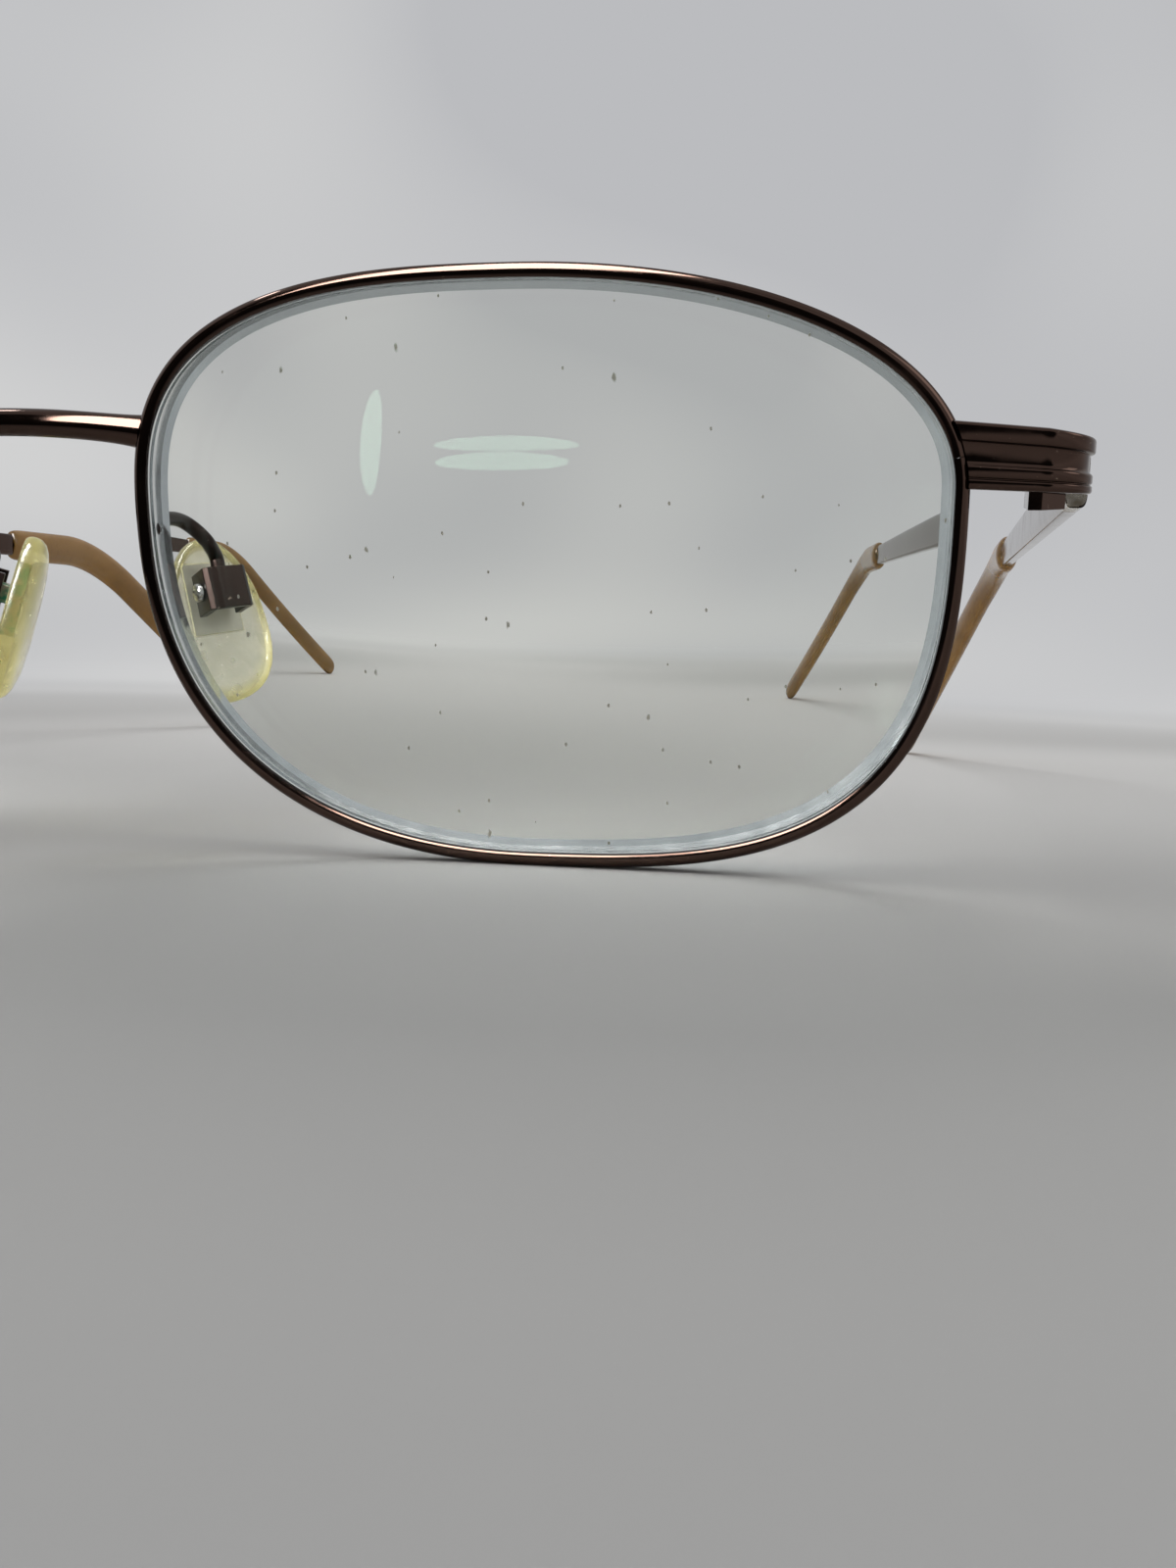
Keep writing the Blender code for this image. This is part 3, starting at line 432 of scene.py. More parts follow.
# Points round a closed path of (a, b, radius) corners, each corner with a radius turned into a smooth curve.
def roundCorners(corners, steps=4):
    path = []
    for i, (a, b, radius) in enumerate(corners):
        here = Vector((a, b))
        if radius == 0:
            path.append((a, b))
            continue
        before = Vector(corners[i - 1][:2]) - here
        after = Vector(corners[(i + 1) % len(corners)][:2]) - here
        start = here + before.normalized() * min(radius, before.length / 2)
        finish = here + after.normalized() * min(radius, after.length / 2)
        for k in range(steps + 1):
            t = k / steps
            point = start * (1 - t) ** 2 + here * (2 * t * (1 - t)) + finish * t * t
            path.append((point.x, point.y))
    return path


def circle(radius, sides, start=0.0):
    step = 2 * math.pi / sides
    return [(radius * math.cos(start + i * step), radius * math.sin(start + i * step)) for i in range(sides)]


# Rings of an oval bar along points: half sizes and sideways directions are lists of the same length.
def barRings(points, halfAcross, halfUp, across, sides):
    rings = []
    for i, centre in enumerate(points):
        ahead = points[min(i + 1, len(points) - 1)] - points[max(i - 1, 0)]
        sideWay = across[i] - ahead * (across[i].dot(ahead) / ahead.length_squared)
        sideWay.normalize()
        upWay = sideWay.cross(ahead).normalized()
        rings.append([centre + sideWay * (halfAcross[i] * a) + upWay * (halfUp[i] * b)
                      for a, b in circle(1.0, sides, math.pi / sides)])
    return rings


# Keeps the sign of a cosine or sine and bends its size, which squares or thins an ellipse.
def bent(value, power):
    return math.copysign(abs(value) ** power, value)


# The rim's outer outline, four quarter superellipses. The angle starts at the temple and turns upwards.
def eyeOutline(angle):
    c, s = math.cos(angle), math.sin(angle)
    centreU = eye["crownU"] if s >= 0 else eye["soleU"]
    centreZ = eye["templeBulgeZ"] if c >= 0 else eye["noseBulgeZ"]
    spanU = eye["templeU"] - centreU if c >= 0 else centreU - eye["noseU"]
    spanZ = eye["topZ"] - centreZ if s >= 0 else centreZ - eye["bottomZ"]
    power = 2 / eye[("top" if s >= 0 else "bottom") + ("Temple" if c >= 0 else "Nose")]
    return (centreU + spanU * bent(c, power), centreZ + spanZ * bent(s, power))


# The outer outline's u at height z, on the temple side or the nose side.
def sideU(z, nose=False):
    centreZ = eye["noseBulgeZ"] if nose else eye["templeBulgeZ"]
    upper = z >= centreZ
    centreU = eye["crownU"] if upper else eye["soleU"]
    spanZ = eye["topZ"] - centreZ if upper else centreZ - eye["bottomZ"]
    power = eye[("top" if upper else "bottom") + ("Nose" if nose else "Temple")]
    reach = (1 - (abs(z - centreZ) / spanZ) ** power) ** (1 / power)
    return centreU + (eye["noseU" if nose else "templeU"] - centreU) * reach


def templeSideAngle(z):
    upper = z >= eye["templeBulgeZ"]
    spanZ = eye["topZ"] - eye["templeBulgeZ"] if upper else eye["templeBulgeZ"] - eye["bottomZ"]
    power = eye["topTemple" if upper else "bottomTemple"]
    share = (abs(z - eye["templeBulgeZ"]) / spanZ) ** (power / 2)
    return math.copysign(math.asin(share), z - eye["templeBulgeZ"])


# Evenly spaced ((u, z), outward normal) between two angles of the outline.
def spacedOutline(start, end, count, closed=False):
    fine = 6000
    reach = 24  # the direction at a point is taken over this many fine steps to either side
    dense = [eyeOutline(start + (end - start) * i / fine) for i in range(fine + 1)]
    run = [0.0]
    for (u0, z0), (u1, z1) in zip(dense, dense[1:]):
        run.append(run[-1] + math.hypot(u1 - u0, z1 - z0))
    found = []
    k = 0
    for i in range(count):
        target = run[-1] * i / (count if closed else count - 1)
        while k < fine - 1 and run[k + 1] < target:
            k += 1
        part = (target - run[k]) / max(run[k + 1] - run[k], 1e-9)
        u = dense[k][0] + (dense[k + 1][0] - dense[k][0]) * part
        z = dense[k][1] + (dense[k + 1][1] - dense[k][1]) * part
        near, far = dense[max(k - reach, 0)], dense[min(k + reach + 1, fine)]
        found.append(((u, z), Vector((far[1] - near[1], near[0] - far[0])).normalized()))
    return found


# How far the rim's middle bows back at (u, z).
def crown(u, z):
    return ((u - middleU) ** 2 + z * z - halfU ** 2) / (2 * eye["baseRadius"])


rim = {
    "face": 0.88, "depth": 2.2, "grooveDepth": 0.45, "grooveHalf": 0.5, "outerFall": 0.3, "innerFall": 0.1,
    "outerEdge": 0.3, "innerEdge": 0.15, "grooveEdge": 0.06, "grooveRoot": 0.1,
    "splitZ": 7.55, "splitGap": 0.25, "splitShown": 0.06, "stations": 420,
}


# Drawn rim wire: a front face that falls away more on its outer half than on its inner one, a V
# groove for the lens inside and a flat back. The split is shown nearly closed, as the screw pulls it.
def rimMesh():
    half = rim["depth"] / 2
    face = rim["face"]
    steps = 12
    front = []
    for i in range(steps + 1):
        t = -1 + 2 * i / steps
        fall = rim["outerFall"] if t > 0 else rim["innerFall"]
        front.append((-face / 2 + t * face / 2, -half + fall * t * t, 0))
    corners = front + [
        (0, half, rim["outerEdge"]), (-face, half, rim["innerEdge"]),
        (-face, rim["grooveHalf"], rim["grooveEdge"]), (rim["grooveDepth"] - face, 0, rim["grooveRoot"]),
        (-face, -rim["grooveHalf"], rim["grooveEdge"])]
    profile = roundCorners(corners)
    split = rim["splitShown"] / 2
    start = templeSideAngle(rim["splitZ"] + split)
    end = templeSideAngle(rim["splitZ"] - split) + 2 * math.pi
    rings = []
    for (u, z), normal in spacedOutline(start, end, rim["stations"]):
        bow = crown(u, z)
        rings.append([eyeToFront(u + normal.x * r, n + bow, z + normal.y * r) for r, n in profile])
    return skin(rings)


lens = {
    "fit": 0.1, "centre": 1.2, "backRadius": 74.0, "offsetU": -2.5, "offsetZ": 0.7, "bevelHalf": 0.42,
    "frontLead": 0.8, "chamferIn": 0.45, "chamferDeep": 0.35, "stations": 320, "rings": 22,
}


def lensFrontN(u, z):
    return crown(u, z) - lens["frontLead"]


def lensBackN(u, z):
    offU = u - middleU - lens["offsetU"]
    offZ = z - lens["offsetZ"]
    sag = lens["backRadius"] - math.sqrt(lens["backRadius"] ** 2 - offU ** 2 - offZ ** 2)
    return lensFrontN(middleU, 0) + lens["centre"] + sag


# Minus lens: a nearly flat front, a hollow back and a thick ground edge with the bevel that sits in
# the groove. The front takes the first material, the edge and its chamfer the second, the back the third.
def lensMesh():
    edge = -rim["face"] - lens["fit"]
    apex = rim["grooveDepth"] - rim["face"] - lens["fit"]
    outline = spacedOutline(0, 2 * math.pi, lens["stations"], closed=True)

    def surfaceRing(share, surface, inset=0.0):
        points = []
        for (u, z), normal in outline:
            edgeU, edgeZ = u + normal.x * (edge - inset), z + normal.y * (edge - inset)
            pointU = middleU + (edgeU - middleU) * share
            points.append(eyeToFront(pointU, surface(pointU, edgeZ * share), edgeZ * share))
        return points

    def edgeRing(offset, nFromCrown):
        return [eyeToFront(u + normal.x * offset, crown(u, z) + nFromCrown, z + normal.y * offset)
                for (u, z), normal in outline]

    shares = [0.004] + [i / lens["rings"] for i in range(1, lens["rings"])] + [0.985, 1.0]
    front = [surfaceRing(share, lensFrontN) for share in shares]
    ground = [edgeRing(edge, -lens["bevelHalf"]), edgeRing(apex, 0.0), edgeRing(edge, lens["bevelHalf"])]
    ground.append(surfaceRing(1.0, lambda u, z: lensBackN(u, z) - lens["chamferDeep"]))
    back = [surfaceRing(share, lensBackN, lens["chamferIn"]) for share in reversed(shares)]
    bm = skin(front + ground + back)
    bm.faces.ensure_lookup_table()
    count = len(outline)
    for row in range(len(front) - 1, len(front) + len(ground)):
        for face in bm.faces[row * count:(row + 1) * count]:
            face.material_index = 1
    for face in bm.faces[(len(front) + len(ground)) * count:]:
        face.material_index = 2
    return bm


bridge = {
    "height": 1.8, "depth": 1.6, "endZ": 9.45, "rise": 0.75, "bow": 1.5, "flare": 0.22, "flarePower": 8,
}


# Drawn bridge bar, arched up and forward, its ends flared where the solder runs onto the rims.
def bridgeMesh():
    stations = 120
    rings = []
    for i in range(stations + 1):
        share = -1 + 2 * i / stations
        lift = 1 - share * share
        flare = 1 + bridge["flare"] * abs(share) ** bridge["flarePower"]
        ring = []
        for a, b in circle(1.0, 40):
            y = bridge["depth"] / 2 * a * flare - bridge["bow"] * lift
            z = bridge["endZ"] + bridge["rise"] * lift + bridge["height"] / 2 * b * flare
            x = eyeToFront(sideU(z - bridge["rise"] * lift, nose=True) + solderRun, y, z).x
            ring.append(Vector((x * share, y, z)))
        rings.append(ring)
    return skin(rings)


# Pressed strap that turns the corner from rim to temple: a band, a wide flute, a rib, a groove and a foot.
def endPieceMesh():
    part = endPiece
    height = part["topZ"][0] - part["bottomZ"][0]
    deep, step, thick = part["fluteDepth"], part["edgeStep"], part["thickness"]
    # The face's corners from its top: share of the height, depth behind the face, rounding.
    face = [
        (0.0, 0.32, 0.0), (0.02, 0.0, 0.25), (part["topBand"], 0.0, 0.12),
        (part["topBand"] + step, deep, 0.1), (part["fluteEnd"], deep, 0.2), (part["ribTop"], 0.06, 0.12),
        (part["ribBottom"], 0.06, 0.07), (part["ribBottom"] + step, part["grooveDepth"], 0.05),
        (part["footTop"], 0.06, 0.07), (0.98, 0.04, 0.25), (1.0, 0.35, 0.0), (1.0, thick, 0.15),
        (0.5, thick, 0.0), (0.0, thick, 0.15)]
    rounded = roundCorners([(share * height, depth, radius) for share, depth, radius in face])
    profile = [(a / height, b) for a, b in rounded]

    def level(levels, before, after):
        return levels[0] + (levels[1] - levels[0]) * before + (levels[2] - levels[1]) * after

    def ring(before, after, place):
        top = level(part["topZ"], before, after)
        bottom = level(part["bottomZ"], before, after)
        return [place(top - (top - bottom) * share, depth) for share, depth in profile]

    def alongFront(share):
        def place(z, depth):
            start = eyeToFront(sideU(z) - solderRun, part["frontN"] + depth, z)
            return start.lerp(Vector((cornerX, cornerY - part["corner"] + depth, z)), share)
        return place

    def roundCorner(angle):
        def place(z, depth):
            radius = part["corner"] - depth
            return Vector((cornerX + math.sin(angle) * radius, cornerY - math.cos(angle) * radius, z))
        return place

    straightSteps, cornerSteps, rearSteps = 12, 20, 3
    turned = 0.8  # share of the way from the corner to the hinge that the round corner takes
    rings = [ring(i / straightSteps, 0, alongFront(i / straightSteps)) for i in range(straightSteps)]
    for i in range(cornerSteps + 1):
        share = i / cornerSteps
        rings.append(ring(1, share * turned, roundCorner(math.pi / 2 * share)))
    for i in range(1, rearSteps + 1):
        along = i / rearSteps
        rings.append(ring(1, turned + (1 - turned) * along, lambda z, depth, along=along: Vector(
            (templeOuterX - depth, cornerY + (endRearY - cornerY) * along, z))))
    return skin(rings)


temple = {
    "thickness": 1.4, "heightFront": 3.9, "heightBack": 3.1, "slope": 7.8, "splay": 1.06, "straight": 97.7,
    "earRadius": 20.9, "earAngle": 41.6, "tipDrop": 35.7, "tipInward": 15.9, "tipLead": 13.7,
    "coreRadius": 0.65, "coreMargin": 9.0, "tipThickness": 2.7, "tipHeight": 4.5, "tipHeightEnd": 5.1,
    "fit": 0.06, "ease": 6.0,
    "crownIn": 0.42, "crownUp": 0.55, "endShrink": 0.94, "nickelRings": 5, "boreSpare": 0.3, "sides": 48,
}
slope, splay, ear = [math.radians(temple[name]) for name in ("slope", "splay", "earAngle")]
templeBack = Vector((math.sin(splay) * math.cos(slope), math.cos(splay) * math.cos(slope), -math.sin(slope)))
templeDown = Vector((0, -math.sin(slope), -math.cos(slope)))
templeIn = Vector((-math.cos(splay), math.sin(splay), 0))
earArc = temple["earRadius"] * ear
templeTotal = temple["straight"] + earArc + temple["tipDrop"]
barLength = temple["straight"] - temple["tipLead"]
templeStart = Vector((templeOuterX - temple["thickness"] / 2, endRearY + templeGap, hinge["z"]))


# The temple's centreline at a distance along it from its front end.
def templePoint(run):
    bend = min(max(run - temple["straight"], 0), earArc) / temple["earRadius"]
    tail = max(run - temple["straight"] - earArc, 0)
    ahead = min(run, temple["straight"]) + temple["earRadius"] * math.sin(bend) + tail * math.cos(ear)
    down = temple["earRadius"] * (1 - math.cos(bend)) + tail * math.sin(ear)
    beyond = run - temple["straight"] - earArc / 2
    ease = temple["ease"]
    inward = 0.0
    if beyond > -ease:
        inward = (beyond + ease) ** 2 / (4 * ease) if beyond < ease else beyond
    inward *= math.tan(math.radians(temple["tipInward"]))
    return templeStart + templeBack * ahead + templeDown * down + templeIn * inward


def evenly(start, end, steps):
    return [start + (end - start) * i / steps for i in range(steps + 1)]


# The flat spring bar with crowned faces, then the round core that the tip slides over. The second
# material is light grey nickel silver, on the front end and the inward face near it.
def templeBarMesh():
    sides = temple["sides"]
    rings = []
    for run in [0.0, 0.12, 0.3] + evenly(0.8, barLength - 0.3, 60) + [barLength]:
        share = run / barLength
        shrink = temple["endShrink"] if run in (0.0, barLength) else 1.0
        halfUp = (temple["heightFront"] + (temple["heightBack"] - temple["heightFront"]) * share) / 2 * shrink
        halfIn = temple["thickness"] / 2 * shrink
        centre = templePoint(run)
        ring = []
        for a, b in circle(1.0, sides, math.pi / sides):
            a = bent(a, temple["crownIn"]) * halfIn
            b = bent(b, temple["crownUp"]) * halfUp
            if run < 0.2:
                ring.append(Vector((centre.x + a, templeStart.y + run, centre.z + b)))
            else:
                ring.append(centre - templeIn * a - templeDown * b)
        rings.append(ring)
    points = [templePoint(run) for run in evenly(barLength + 0.02, templeTotal - temple["coreMargin"], 70)]
    size = [temple["coreRadius"]] * len(points)
    rings += barRings(points, size, size, [-templeIn] * len(points), sides)
    bm = skin(rings)
    bm.faces.ensure_lookup_table()
    # The front end and the inward faces of the first rings take the light grey nickel silver.
    inward = range(sides // 4, 3 * sides // 4)
    worn = [bm.faces[row * sides + i] for row in range(temple["nickelRings"]) for i in inward]
    for face in worn + [bm.faces[-2]]:
        face.material_index = 1
    return bm


# How each end of the sleeve is rounded: distance from the end, share of the full section.
frontRound = [(0.0, 0.66), (0.15, 0.78), (0.5, 0.9), (1.1, 0.965), (1.8, 0.99)]
rearRound = [(3.4, 1.0), (2.6, 0.993), (1.9, 0.965), (1.3, 0.91), (0.8, 0.81), (0.42, 0.66), (0.18, 0.48),
             (0.04, 0.26), (0.0, 0.1)]


# Moulded tip: an oval sleeve with softly rounded ends, bored for the core.
def templeTipMesh():
    sides = temple["sides"]
    start = barLength + jointGap
    stations = [(start + run, scale) for run, scale in frontRound]
    stations += [(run, 1.0) for run in evenly(start + 2.6, templeTotal - 4.2, 88)]
    stations += [(templeTotal - back, scale) for back, scale in rearRound]
    points = [templePoint(run) for run, _ in stations]
    halfIn = [temple["tipThickness"] / 2 * scale for _, scale in stations]
    growth = temple["tipHeightEnd"] - temple["tipHeight"]
    halfUp = [(temple["tipHeight"] + growth * (run - start) / (templeTotal - start)) / 2 * scale
              for run, scale in stations]
    outer = barRings(points, halfIn, halfUp, [-templeIn] * len(points), sides)
    boreRuns = evenly(start, templeTotal - temple["coreMargin"] + temple["boreSpare"], 70)
    borePoints = [templePoint(run) for run in boreRuns]
    boreSize = [temple["coreRadius"] + temple["fit"]] * len(borePoints)
    inner = barRings(borePoints, boreSize, boreSize, [-templeIn] * len(borePoints), sides)
    return skin(list(reversed(outer)) + inner)


pad = {
    "centre": (8.6, 8.7, -4.0), "splay": 30.0, "lean": 20.0, "length": 13.0, "width": 7.4, "thickness": 2.3,
    "pocketDepth": 1.0, "plateLength": 5.6, "plateWidth": 3.4, "fit": 0.06,
    "boxUp": 1.7, "boxOut": 1.95, "boxHeight": 3.2, "boxWidth": 3.0,
    "screwRadius": 0.35, "headRadius": 0.7, "headDepth": 0.35, "lip": 0.22, "rimShare": 0.87,
    "ribs": 8, "ribHeight": 0.05,
}
padSplay, padLean = math.radians(pad["splay"]), math.radians(pad["lean"])
padAcross = Vector((math.sin(padSplay), math.cos(padSplay), 0))
levelOut = Vector((math.cos(padSplay), -math.sin(padSplay), 0))
padUp = Vector((0, 0, math.cos(padLean))) - levelOut * math.sin(padLean)
padOut = levelOut * math.cos(padLean) + Vector((0, 0, math.sin(padLean)))


def padPlace(across, up, out):
    return Vector(pad["centre"]) + padAcross * across + padUp * up + padOut * out


# D-shaped outline: a straighter front edge, fuller towards the bottom.
def padOutline(scale, sides):
    points = []
    for i in range(sides):
        angle = 2 * math.pi * i / sides
        c, s = math.cos(angle), math.sin(angle)
        across = bent(c, 0.9) * pad["width"] / 2
        across *= 0.82 - 0.12 * s if c < 0 else 1.0 - 0.18 * s
        points.append((across * scale, bent(s, 0.85) * pad["length"] / 2 * scale))
    return points


# The pad's nose side from its middle out and round the edge to the lip: share of the outline, share
# of the thickness behind the outer face.
padDome = [(0.05, 0.965), (0.25, 0.96), (0.45, 0.945), (0.62, 0.91), (0.75, 0.86), (0.86, 0.78), (0.94, 0.66),
           (0.985, 0.5), (1.0, 0.34), (0.998, 0.2), (0.985, 0.09), (0.96, 0.02), (0.93, 0.0), (0.9, 0.03)]


# Moulded pad: domed nose side, rounded edge with a lip, and a pocket in the outer face that holds the plate.
def nosePadMesh():
    sides = 96
    thick = pad["thickness"]
    pocketAcross, pocketUp = pad["plateWidth"] / 2 + pad["fit"], pad["plateLength"] / 2 + pad["fit"]
    pocket = []
    for i in range(sides):
        angle = 2 * math.pi * i / sides
        c, s = math.cos(angle), math.sin(angle)
        reach = 1 / max(abs(c), abs(s))
        pocket.append((c * reach * pocketAcross, s * reach * pocketUp + pad["boxUp"]))
    shapes = []  # (outline, height out of the outer face, how near it is to the edge)
    for scale, depth in padDome + [(pad["rimShare"], pad["lip"] / thick)]:
        shapes.append((padOutline(scale, sides), -thick * depth, min(max((scale - 0.5) / 0.5, 0), 1)))
    inside = padOutline(pad["rimShare"], sides)
    for share in (0.2, 0.4, 0.6, 0.8, 1.0):
        ring = [(a + (c - a) * share, b + (d - b) * share) for (a, b), (c, d) in zip(inside, pocket)]
        shapes.append((ring, -pad["lip"] - 0.02 * share, 0.45 * (1 - share)))
    for depth in (0.5, 0.8, 0.98, 1.0):
        shapes.append((pocket, -pad["pocketDepth"] * depth, 0.1))
    for share in (0.6, 0.1):
        ring = [(a * share, (b - pad["boxUp"]) * share + pad["boxUp"]) for a, b in pocket]
        shapes.append((ring, -pad["pocketDepth"], 0.0))
    rings = []
    for outline, out, share in shapes:
        ring = []
        for a, b in outline:
            ripple = 0.0
            if 0 < share < 0.5 and b < pad["boxUp"] - pocketUp:
                ripple = pad["ribHeight"] * math.cos(2 * math.pi * pad["ribs"] * b / pad["length"])
            ring.append(padPlace(a, b, out + ripple))
        rings.append(ring)
    bm = skin(rings)
    layer = bm.verts.layers.float.new("edgeShare")
    bm.verts.ensure_lookup_table()
    for k, (_, _, share) in enumerate(shapes):
        for vert in bm.verts[k * sides:(k + 1) * sides]:
            vert[layer] = share
    return bm


arm = {"radius": 0.45, "wire": 0.5, "rootZ": 3.2, "foot": 0.18, "footRun": 0.35}


# Pad arm: round wire soldered to the back of the rim, up and over in a goose neck to the box.
def padArmMesh():
    rootU = sideU(arm["rootZ"], nose=True) + arm["radius"]
    root = eyeToFront(rootU, rim["depth"] / 2 + crown(rootU, arm["rootZ"]) + 2 * jointGap, arm["rootZ"])
    back = eyeToFront(rootU, rim["depth"], arm["rootZ"]) - eyeToFront(rootU, 0, arm["rootZ"])
    top = padPlace(0, pad["boxUp"] + pad["boxHeight"] / 2 + jointGap, pad["boxOut"])
    knots = [root, root + back * 0.5, root + Vector((-0.8, 3.2, 0.55)), root + Vector((-1.1, 4.9, 0.25)),
             root + Vector((-0.6, 6.0, -1.0)), top + padUp * 1.0, top]
    points = []
    steps = 14
    for i in range(len(knots) - 1):
        before, after = knots[max(i - 1, 0)], knots[min(i + 2, len(knots) - 1)]
        a, b = knots[i], knots[i + 1]
        for k in range(steps):
            t = k / steps
            points.append(0.5 * (2 * a + (b - before) * t + (2 * before - 5 * a + 4 * b - after) * t * t
                                 + (3 * a - before - 3 * b + after) * t ** 3))
    points.append(knots[-1])
    run = [(point - root).length for point in points]
    size = [arm["wire"] + arm["foot"] * math.exp(-distance / arm["footRun"]) for distance in run]
    return skin(barRings(points, size, size, [Vector((1, 0, 0.2))] * len(points), 28))


# Turned screw with a threaded shank: its cheese head lies before the origin, its shank along the axis.
def screwMesh(origin, axis, headRadius, headDepth, shankRadius, length):
    axis = axis.normalized()
    across = axis.orthogonal().normalized()
    other = axis.cross(across)
    sides = 40
    # The head's corners from its crown down, as shares of its depth and radius.
    head = [(1.0, 0.1), (1.0, 0.72), (0.93, 0.86), (0.7, 0.97), (0.4, 1.0)]
    profile = [(-headDepth * deep, headRadius * wide) for deep, wide in head]
    profile += [(-0.02, headRadius), (0.0, headRadius * 0.97), (0.0, shankRadius)]
    pitch = shankRadius * 0.55
    for k in range(int((length - 0.3) / pitch)):
        along = 0.15 + k * pitch
        profile += [(along, shankRadius), (along + pitch * 0.5, shankRadius * 0.86)]
    profile += [(length - 0.1, shankRadius * 0.9), (length, shankRadius * 0.55)]
    rings = [[origin + axis * along + across * a + other * b for a, b in circle(radius, sides)]
             for along, radius in profile]
    return skin(rings)


# Cuts a driver slot across a screw's head and leaves the result as plain mesh.
def cutSlot(piece, origin, axis, headRadius, headDepth, slotTurn, side):
    axis = axis.normalized()
    along = Matrix.Rotation(math.radians(slotTurn), 3, axis) @ axis.orthogonal().normalized()
    wide = axis.cross(along)
    half, reach, deep = headRadius * 0.17, headRadius * 1.5, headDepth * 0.55
    rings = []
    for level in (-headDepth - 0.5, -headDepth + deep):
        rings.append([origin + axis * level + along * a + wide * b
                      for a, b in ((-reach, -half), (reach, -half), (reach, half), (-reach, half))])
    bm = skin(rings)
    moveIntoRow(bm, side)
    cutter = addObject("slotCutter", bm)
    cut = piece.modifiers.new("slot", "BOOLEAN")
    cut.operation = "DIFFERENCE"
    cut.object = cutter
    bpy.context.view_layer.update()
    slotted = bpy.data.meshes.new_from_object(piece.evaluated_get(bpy.context.evaluated_depsgraph_get()))
    piece.modifiers.clear()
    piece.data = slotted
    slotted.shade_smooth()
    slotted.set_sharp_from_angle(angle=math.radians(30))
    bpy.data.objects.remove(cutter)


# A slotted screw. Its head is (radius, depth).
def makeScrew(name, node, side, origin, axis, head, shankRadius, length, slotTurn):
    mesh = screwMesh(origin, axis, *head, shankRadius, length)
    screw = makePiece(name, mesh, [steel], node, side, sharp=30.0)
    cutSlot(screw, origin, axis, *head, slotTurn, side)


softening = {"weld": 0.001, "flat": 1.5, "corner": 32.0, "topBand": 0.3, "segments": 3}


# A milled or pressed part whose faces the CAD already has: a copy with its edges broken by a small round,
# and its top lowered where the real one stands lower.
def softenedPiece(name, node, material, edgeRadius, lowered=0.0):
    source = frame["nodes"][node].data
    bm = bmesh.new()
    verts = [bm.verts.new(vert.co) for vert in source.vertices]
    for polygon in source.polygons:
        corners = [verts[i] for i in polygon.vertices]
        if bm.faces.get(corners) is None:
            bm.faces.new(corners)
    bmesh.ops.remove_doubles(bm, verts=bm.verts, dist=softening["weld"] * mm)
    up = turnFront.to_3x3() @ Vector((0, 0, 1))
    top = max(vert.co.dot(up) for vert in bm.verts)
    for vert in bm.verts:
        if vert.co.dot(up) > top - softening["topBand"] * mm:
            vert.co -= up * lowered * mm
    flat = math.radians(softening["flat"])
    bmesh.ops.dissolve_limit(bm, angle_limit=flat, verts=bm.verts, edges=bm.edges)
    piece = addObject(name, bm, [material])
    bevel = piece.modifiers.new("brokenEdges", "BEVEL")
    bevel.width = edgeRadius * mm
    bevel.segments = softening["segments"]
    bevel.limit_method = "ANGLE"
    bevel.angle_limit = math.radians(softening["corner"])
    bevel.harden_normals = True
    standFor(piece, node)


lock = {
    "length": 2.9, "depth": 2.1, "half": 1.75, "screwRadius": 0.45, "headRadius": 0.8, "headDepth": 0.5,
    "fit": 0.06, "screwAlong": 0.55, "screwSpare": 0.52, "headShare": 0.92, "screwShare": 0.9, "slotTurn": 35,
}
pivot = {"head": (0.8, 0.35), "shankRadius": 0.43, "above": 0.06, "slotTurn": -20}
padScrew = {"shankShare": 0.95, "spare": 0.15, "start": 0.05, "slotTurn": 60}

# Drawn pieces: name, node that each stands for, mesh, materials, sharpest edge that is shaded smooth.
drawnPieces = (
    ("rim_wire", "rim", rimMesh, [bronze], 35.0),
    ("lens_blank", "lens", lensMesh, [lensClear, lensEdge, lensBack], 25.0),
    ("end_strap", "end_piece", endPieceMesh, [wornBronze], 50.0),
    ("temple_spring", "temple_bar", templeBarMesh, [bronze, nickel], 40.0),
    ("temple_sleeve", "temple_tip", templeTipMesh, [acetate], 40.0),
    ("pad_wire", "pad_arm", padArmMesh, [dullBronze], 40.0),
    ("pad_cushion", "nose_pad", nosePadMesh, [pvc], 45.0),
)
# Softened pieces: name, node, material, edge radius, how far the top is lowered.
softenedPieces = (
    ("lock_top", "rim_lock_upper", wornBronze, 0.12, 0.35),
    ("lock_bottom", "rim_lock_lower", wornBronze, 0.12, 0.0),
    ("hinge_knuckles", "hinge_front", wornBronze, 0.12, 0.0),
    ("hinge_leaf", "hinge_temple", nickel, 0.1, 0.0),
    ("pad_clasp", "pad_box", dullBronze, 0.4, 0.0),
)


